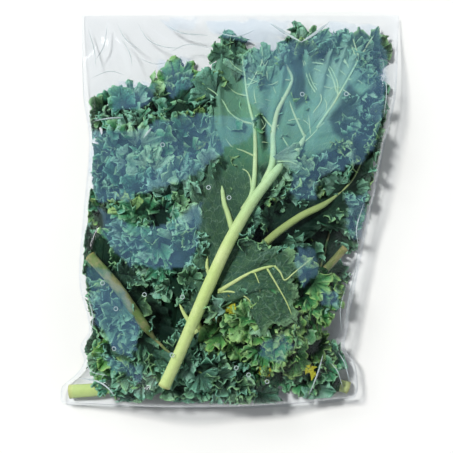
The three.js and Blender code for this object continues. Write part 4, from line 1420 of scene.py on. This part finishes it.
def leaf_looks(g):
    coordinates = g.place()
    leaf_place = g.attribute("leaf", "Vector")
    edge, back, frill = g.attribute("edge"), g.attribute("back"), g.attribute("frill")
    tone_and_crest_light, warm, painted_shade = g.attribute("tone"), g.attribute("warm"), g.attribute("painted_shade")
    fine = g.noise(coordinates, 170.0, 4.0, 0.6)
    # Bent cells make the net of veins.
    bent = g.node("VectorMath")
    bent.operation = "MULTIPLY_ADD"
    bend = (g.noise(leaf_place, 0.09, 2.0, 0.5, "Color"), (11, 11, 11), leaf_place)
    for socket, value in zip(bent.inputs, bend):
        g.put(socket, value)
    vein = g.net(bent.outputs[0], 0.11, 0.06)
    small_vein = g.net(bent.outputs[0], 0.30, 0.10)
    # The upper side goes from dark to pale by its tone, cool or warm, with a painted highlight on
    # the rims and crests and painted shade in the hollows; the back has a bloom on it.
    mottle = g.ramp(g.noise(coordinates, 28.0, 3.0), 0.3, 0.7)
    dark = g.blend(warm, "042c24", "104521")
    mid = g.blend(warm, g.blend(mottle, "1f745b", "4fa68a"), g.blend(mottle, "378c40", "66b35a"))
    mid = g.tint(mid, g.ramp(g.noise(coordinates, 15.0, 2.0), 0.5, 0.66), 0.6, "0c8a5a")
    pale = g.blend(warm, "b2e2d2", "bde59c")
    upper = g.blend(g.ramp(tone_and_crest_light, 0.0, 0.55), dark, mid)
    upper = g.tint(upper, g.ramp(tone_and_crest_light, 0.6, 1.15), 0.9, pale)
    bloom = g.maths("MULTIPLY_ADD", g.ramp(tone_and_crest_light, 0.0, 0.7), 0.42, 0.12)
    tone = g.blend(back, upper, g.blend(bloom, upper, "85a89e"))
    tone = g.tint(tone, g.ramp(fine, 0.35, 0.7), 0.18, "6f9b52")
    tone = g.tint(tone, vein, g.maths("MULTIPLY_ADD", back, 0.12, 0.1), "a8cdb2")
    tone = g.tint(tone, small_vein, 0.12, "9dbb83")
    # Painted highlight along the rims of the curls and the margins of the sheets.
    tone = g.tint(tone, edge, 0.85, g.blend(warm, "8fd0b2", "a8d07c"))
    # Painted shade, laid over the colours above.
    tone = g.tint(tone, painted_shade, 0.85, "031a15")
    tone = g.blend(g.ramp(warm, 1.2, 1.9), tone, "bdbb3c")
    relief = g.maths("MULTIPLY_ADD", vein, 0.8, g.maths("MULTIPLY", small_vein, 0.35))
    relief = g.maths("ADD", relief, g.maths("MULTIPLY", fine, 0.5))
    crinkle = g.maths("MULTIPLY", g.noise(coordinates, 210.0, 2.0, 0.55), frill)
    normal = g.bump(relief, 0.0005, 0.7, Normal=g.bump(crinkle, 0.004, 0.8))
    skin = g.node("BsdfPrincipled", Base_Color=tone, Normal=normal, Specular_IOR_Level=0.3)
    g.put(skin.inputs["Roughness"], g.maths("MULTIPLY_ADD", fine, 0.3, 0.38))
    through_leaf = g.node("BsdfTranslucent", Normal=normal, Color=g.blend(0.5, tone, "86b043"))
    return g.mixed(0.16, skin.outputs[0], through_leaf.outputs[0])


def stalk_looks(g):
    coordinates = g.place()
    olive = g.attribute("olive")
    streaks = g.noise(coordinates, 260.0, 3.0, 0.6)
    patches = g.noise(coordinates, 30.0, 3.0)
    tone = g.blend(g.ramp(g.attribute("run"), 120.0, 290.0), "b8cb80", "a3cca6")
    tone = g.tint(tone, g.ramp(patches, 0.4, 0.7), 0.4, "d3dba6")
    tone = g.tint(tone, g.ramp(streaks, 0.45, 0.75), 0.3, "8fae62")
    tone = g.blend(g.ramp(olive, 0.0, 1.2), tone, "667f42")
    tone = g.blend(g.ramp(olive, 0.8, 1.6), tone, "3f5536")
    # Olive stalks are worn and spotted.
    worn = g.ramp(g.noise(coordinates, 85.0, 4.0, 0.65), 0.42, 0.56)
    spots = g.ramp(g.noise(coordinates, 110.0, 3.0, 0.6), 0.5, 0.66)
    for mark, mark_tone in ((worn, "99906a"), (spots, "33573c")):
        tone = g.tint(tone, g.maths("MULTIPLY", mark, g.ramp(olive, 0.5, 1.1)), 0.6, mark_tone)
    tone = g.tint(tone, g.attribute("cut"), 0.8, "a08a4e")
    normal = g.bump(streaks, 0.0006, 0.4)
    return g.node("BsdfPrincipled", Base_Color=tone, Normal=normal, Roughness=0.5).outputs[0]


def painted_glint_looks(g):
    """Film drawn into a thicker rim, painted whiter as the highlight its folds and vents catch."""
    tone = g.blend(g.noise(g.place(), 300.0), "b9cdd2", "e4eef0")
    white = g.node("BsdfPrincipled", Base_Color=tone, Roughness=0.25)
    return g.mixed(0.5, g.node("BsdfTransparent").outputs[0], white.outputs[0])


# How strong the film's painted sheen is, and its colour: a bluish reflection painted into the film
# as milky patches.
SHEEN_STRENGTH = 0.082
SHEEN_TINT = (0.24, 0.49, 0.76, 1)
STRAIGHT_GLOSS, EDGE_GLOSS = 0.012, 0.75


def film_looks(g):
    coordinates = g.place()
    normal = g.bump(g.noise(coordinates, 55.0, 4.0, 0.55), 0.0004, 0.12)
    clear = g.node("BsdfTransparent", Color=(0.985, 0.99, 0.995, 1))
    gloss = g.node("BsdfGlossy", Normal=normal, Roughness=0.07, Color=(0.95, 0.97, 1.0, 1))
    weight = g.node("LayerWeight", Normal=normal, Blend=0.5)
    facing = g.maths("POWER", weight.outputs["Facing"], 5.0)
    share = g.maths("MULTIPLY_ADD", facing, EDGE_GLOSS, STRAIGHT_GLOSS)
    film = g.mixed(share, clear.outputs[0], gloss.outputs[0])
    # Painted reflection: a bluish sheen laid over the film where its patches are, mottled by noise.
    sheen_share = g.ramp(g.noise(coordinates, 26.0, 5.0, 0.6), 0.3, 0.7)
    sheen_share = g.maths("MULTIPLY_ADD", sheen_share, SHEEN_STRENGTH * 0.6, SHEEN_STRENGTH * 0.6)
    sheen_coat = g.node("BsdfDiffuse", Color=SHEEN_TINT)
    return g.mixed(g.maths("MULTIPLY", g.attribute("painted_sheen"), sheen_share), film, sheen_coat.outputs[0])


leaf_finish = finish("kale_leaf", leaf_looks)
stalk_finish = finish("kale_stalk", stalk_looks)
film_finish = finish("clear_film", film_looks)
painted_glint_finish = finish("film_painted_glint", painted_glint_looks)


def finish_piece(made, material, slot, *replaced):
    made.data.materials.append(material)
    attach(made, "root")
    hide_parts(*replaced)


# ---------- Leaves, from the top of the pile down ----------
uncovered = Field(np.ones((Field.LINES, Field.COLUMNS)))
for number in range(len(LEAVES) - 1, -1, -1):
    leaf = Leaf(number, *LEAVES[number])
    sheet = Sheet(leaf)
    made, lobes, covers = blade_object(leaf, sheet, uncovered)
    slot = "kale_back" if leaf.back_up else "kale_upper"
    finish_piece(made, leaf_finish, slot, leaf.name + "_blade")
    ribs, line, radii = stalk_object(leaf, sheet, lobes)
    finish_piece(ribs, stalk_finish, "kale_stalk", leaf.name + "_stalk")
    for part in [sheet.grid] + lobes:
        ceiling.lower_to(part.reshape(-1, 3))
    uncovered.cells[uncovered.under(covers)] = 0.0
    for shift in (-0.6, 0.0, 0.6):
        under = line.copy()
        under[:, 2] -= radii
        under[:, 0] += shift * radii
        ceiling.lower_to(under)


# ---------- Film pieces ----------
# Patches of painted sheen on the film, a bluish reflection put into its material, as outlines in
# plan.
SHEEN_PATCHES = [
    [(-136, 78), (-86, 79), (-72, 88), (-48, 94), (26, 93), (20, 72), (-2, 62), (-24, 44),
     (-44, 30), (-72, 22), (-98, 12), (-128, 8), (-140, 40)],
    [(-128, 4), (-112, -6), (-94, -16), (-64, -14), (-28, 8), (-32, -26), (-36, -52), (-60, -56),
     (-98, -52), (-122, -28)],
    [(-142, -54), (-118, -58), (-98, -86), (-88, -118), (-94, -142), (-112, -136), (-132, -104)],
    [(12, 150), (34, 172), (70, 168), (100, 186), (146, 184), (156, 150), (152, 110), (142, 70),
     (132, 50), (108, 40), (70, 28), (58, 46), (44, 50), (38, 62), (32, 98), (12, 112)],
    [(60, 36), (82, 36), (84, 12), (62, 10)],
    [(114, 16), (134, 18), (132, -28), (116, -26)],
    [(66, -34), (82, -38), (86, -60), (70, -74), (62, -52)],
    [(88, -76), (108, -78), (104, -92), (90, -92)],
    [(-24, 190), (-18, 176), (22, 166), (52, 174), (62, 190)],
    [(-70, 192), (-60, 182), (-36, 180), (-32, 192)],
    [(-72, 148), (-40, 152), (-36, 126), (-60, 112)],
    [(30, -128), (52, -120), (62, -132), (46, -148), (28, -142)],
    [(-126, -142), (-104, -146), (-84, -152), (-88, -164), (-116, -156)],
    [(-122, 122), (-100, 130), (-72, 126), (-80, 104), (-114, 98)],
]
FILM_WALL = 0.25


def film_sheet(name, x, y, z, inward):
    """A thin closed sheet: its outer side at z, its inner side a wall's thickness in."""
    grid = np.stack([x, y, z], -1)
    n = unit(np.cross(np.gradient(grid, axis=1), np.gradient(grid, axis=0)))
    inner = grid + n * inward * FILM_WALL
    points = np.concatenate([grid.reshape(-1, 3), inner.reshape(-1, 3)])
    return mesh_object(name, points, shell_faces(*x.shape, x.size, inward < 0))


patch_x = bag_x + 3.0 * ripple(bag_x / 22, bag_y / 22, 61)
patch_y = bag_y + 3.0 * ripple(bag_x / 22, bag_y / 22, 62)
# The mask of the painted sheen, with wavering edges.
painted_sheen = np.max([covered_by(patch_x, patch_y, patch, 1.2) for patch in SHEEN_PATCHES], axis=0)
top_film = film_sheet("bag_upper_film", bag_x, bag_y, bag_top, -1)
give(top_film, "painted_sheen", np.tile(painted_sheen.ravel(), 2))
finish_piece(top_film, film_finish, "bag_film", "bag")
low_stations = np.concatenate([[0, 2.5, 3.5, 5], np.linspace(9, BAG_LENGTH, 76)])
low_x, low_y, _, low_z = bag_grid(fine_across(70), low_stations)
low_film = film_sheet("bag_under_film", low_x, low_y, np.maximum(low_z, 0.0), 1)
finish_piece(low_film, film_finish, "bag_film")

# Sharp folds of the film, as white strips that paint the highlight along them: lines in plan and
# half width.
FOLDS = [
    ([(40, 187), (53, 178), (71, 167)], 1.7),
    ([(70, 167), (84, 176), (98, 187)], 1.9),
    ([(-134, 88), (-119, 91), (-105, 92)], 0.9),
    ([(-85, 72), (-80, 78), (-77, 82)], 1.5),
    ([(-138, -86), (-134, -103), (-136, -120)], 0.9),
    ([(91, -140), (86, -158), (77, -182)], 0.9),
    ([(-149, -164), (-132, -166), (-120, -172), (-112, -181)], 1.1),
    ([(-142, -146), (-136, -157), (-120, -161)], 0.6),
    ([(106, -138), (113, -150), (118, -168)], 0.7),
    ([(98, -148), (106, -158), (111, -174)], 0.6),
    ([(131, 8), (124, -16), (126, -34)], 0.8),
    ([(150, 150), (153, 118), (150, 92)], 0.6),
    ([(-134, 152), (-126, 166), (-123, 186)], 0.6),
    ([(-64, 187), (-48, 178), (-22, 175)], 0.7),
    ([(-14, 178), (8, 174), (26, 181)], 0.8),
    ([(-108, 172), (-100, 158), (-97, 144)], 0.5),
    ([(-142, 182), (-136, 162), (-134, 144)], 0.5),
    ([(-112, 186), (-104, 172), (-88, 160)], 0.5),
    ([(-92, 188), (-82, 172), (-66, 164), (-46, 162)], 0.5),
    ([(-60, 158), (-42, 166), (-18, 162)], 0.4),
    ([(-138, 132), (-120, 139), (-104, 135)], 0.4),
    ([(-90, 152), (-72, 146), (-54, 152)], 0.4),
    ([(122, -62), (116, -90), (114, -116)], 0.5),
    ([(114, -72), (108, -96), (110, -120)], 0.4),
    ([(126, -34), (123, -60), (118, -84)], 0.4),
]
FOLD_STEP = 1.5
skin_tree = surface_tree(
    np.stack([bag_x, bag_y, bag_top], -1).reshape(-1, 3), sheet_faces(*bag_x.shape))


def fold_ribbon(plan, half_width):
    """A slim lens-shaped strip that follows a line on the film."""
    steps = max(10, int(run_along(plan)[-1] / FOLD_STEP))
    spots = [(x, y, drop(skin_tree, x, y)[0]) for x, y in smooth_line(plan, steps)]
    line = np.array([(x, y, spot.z) for x, y, spot in spots if spot is not None])
    along_line = np.linspace(0, 1, len(line))
    wide = half_width * np.sin(math.pi * clamp(along_line, 0.02, 0.98)) ** 0.7
    wide = wide * (0.75 + 0.25 * waves(along_line * 9, int(50 * half_width)))
    return tube(line, wide, 8, 0.3)


# Vents punched in the film: a raised ring round each, painted whitish as a highlight, at its place
# in plan.
VENTS = [
    (-83, -81), (-46, -83), (-124, -70), (-111, -95), (-56, -139), (-113, -134), (-21, 23),
    (-1, 13), (71, 115), (114, 115), (-66, 65), (36, -166), (18, -159), (6, -152), (150, 130),
    (118, -62),
]
VENT_RADIUS = 1.9
VENT_RIM = 0.42
VENT_STEPS, RIM_STEPS = 18, 6


def vent_ring(x, y):
    """Points of a ring that lies on the film."""
    spot, tilt = drop(skin_tree, x, y)
    tilt = tilt if tilt.z > 0 else -tilt
    east_way = tilt.cross(Vector((0, 1, 0))).normalized() * -1
    north_way = tilt.cross(east_way)
    points = []
    for i in range(VENT_STEPS):
        a = 2 * math.pi * i / VENT_STEPS
        outward = math.cos(a) * east_way + math.sin(a) * north_way
        for j in range(RIM_STEPS):
            b = 2 * math.pi * j / RIM_STEPS
            reach = VENT_RADIUS + VENT_RIM * math.cos(b)
            points.append(tuple(spot + reach * outward + VENT_RIM * math.sin(b) * tilt))
    return points


ring_points, ring_faces = [], []
for x, y in VENTS:
    first = len(ring_points)
    ring_points += vent_ring(x, y)
    for i in range(VENT_STEPS):
        here, there = first + i * RIM_STEPS, first + (i + 1) % VENT_STEPS * RIM_STEPS
        for j in range(RIM_STEPS):
            n = (j + 1) % RIM_STEPS
            ring_faces.append((here + j, there + j, there + n, here + n))
finish_piece(mesh_object("bag_vent_rings", ring_points, ring_faces), painted_glint_finish, "bag_film")
folds = tubes_object("bag_folds", [fold_ribbon(*fold) for fold in FOLDS])
finish_piece(folds, painted_glint_finish, "bag_film")

# ---------- Floor and light ----------
floor_mesh = bpy.data.meshes.new("floor")
floor_mesh.from_pydata([(-6, -6, 0), (6, -6, 0), (6, 6, 0), (-6, 6, 0)], [], [(0, 1, 2, 3)])
floor = new_object("floor", floor_mesh)
floor.location.z = -0.0005
floor_mesh.materials.append(finish("pale_floor", lambda g: g.node(
    "BsdfPrincipled", Base_Color=(0.86, 0.86, 0.85, 1), Roughness=0.8).outputs[0]))

# Soft lamps: name, place, aim, width, height, power and tint.
LAMPS = [
    ("key", (-1.7, 1.2, 1.7), (0, 0, 0), 2.2, 1.6, 14, (0.95, 0.98, 1.0)),
    ("fill", (1.8, -0.7, 1.5), (0, 0, 0), 2.0, 2.0, 8, (0.95, 0.97, 1.0)),
    ("window", (0.05, 0.86, 1.9), (0.05, 0.86, 0), 1.6, 1.35, 1.0, (0.60, 0.80, 1.0)),
    ("glint", (-1.45, 1.15, 1.6), (0, 0, 0), 0.5, 0.4, 6.0, (1.0, 1.0, 1.0)),
]


def light(name, kind, way, power, tint):
    """A lamp that shines one way."""
    data = bpy.data.lights.new(name, kind)
    data.energy, data.color = power, tint
    made = new_object(name, data)
    made.rotation_euler = way.to_track_quat("-Z", "Y").to_euler()
    return made


for name, place, aim, width, height, power, tint in LAMPS:
    lamp = light(name, "AREA", Vector(aim) - Vector(place), power, tint)
    lamp.location = place
    lamp.data.shape = "RECTANGLE"
    lamp.data.size, lamp.data.size_y = width, height
sun = light("sun", "SUN", Vector((0.52, -0.42, -1.0)), 3.0, (1.0, 0.99, 0.96))
sun.data.angle = math.radians(9)
sun.visible_glossy = False
world = bpy.data.worlds.new("studio")
bpy.context.scene.world = world
world.use_nodes = True
sky = Graph(world.node_tree)
rise = sky.node("SeparateXYZ", Vector=sky.node("TexCoord").outputs["Generated"])
# The sky is brightest low down, so that the film mirrors little of it.
strength = sky.maths("MULTIPLY_ADD", sky.ramp(rise.outputs["Z"], 0.05, 0.8), -0.92, 0.96)
background = world.node_tree.nodes["Background"]
sky.put(background.inputs["Color"], (0.92, 0.95, 1.0, 1))
sky.put(background.inputs["Strength"], strength)
bpy.context.scene.view_settings.view_transform = "Standard"
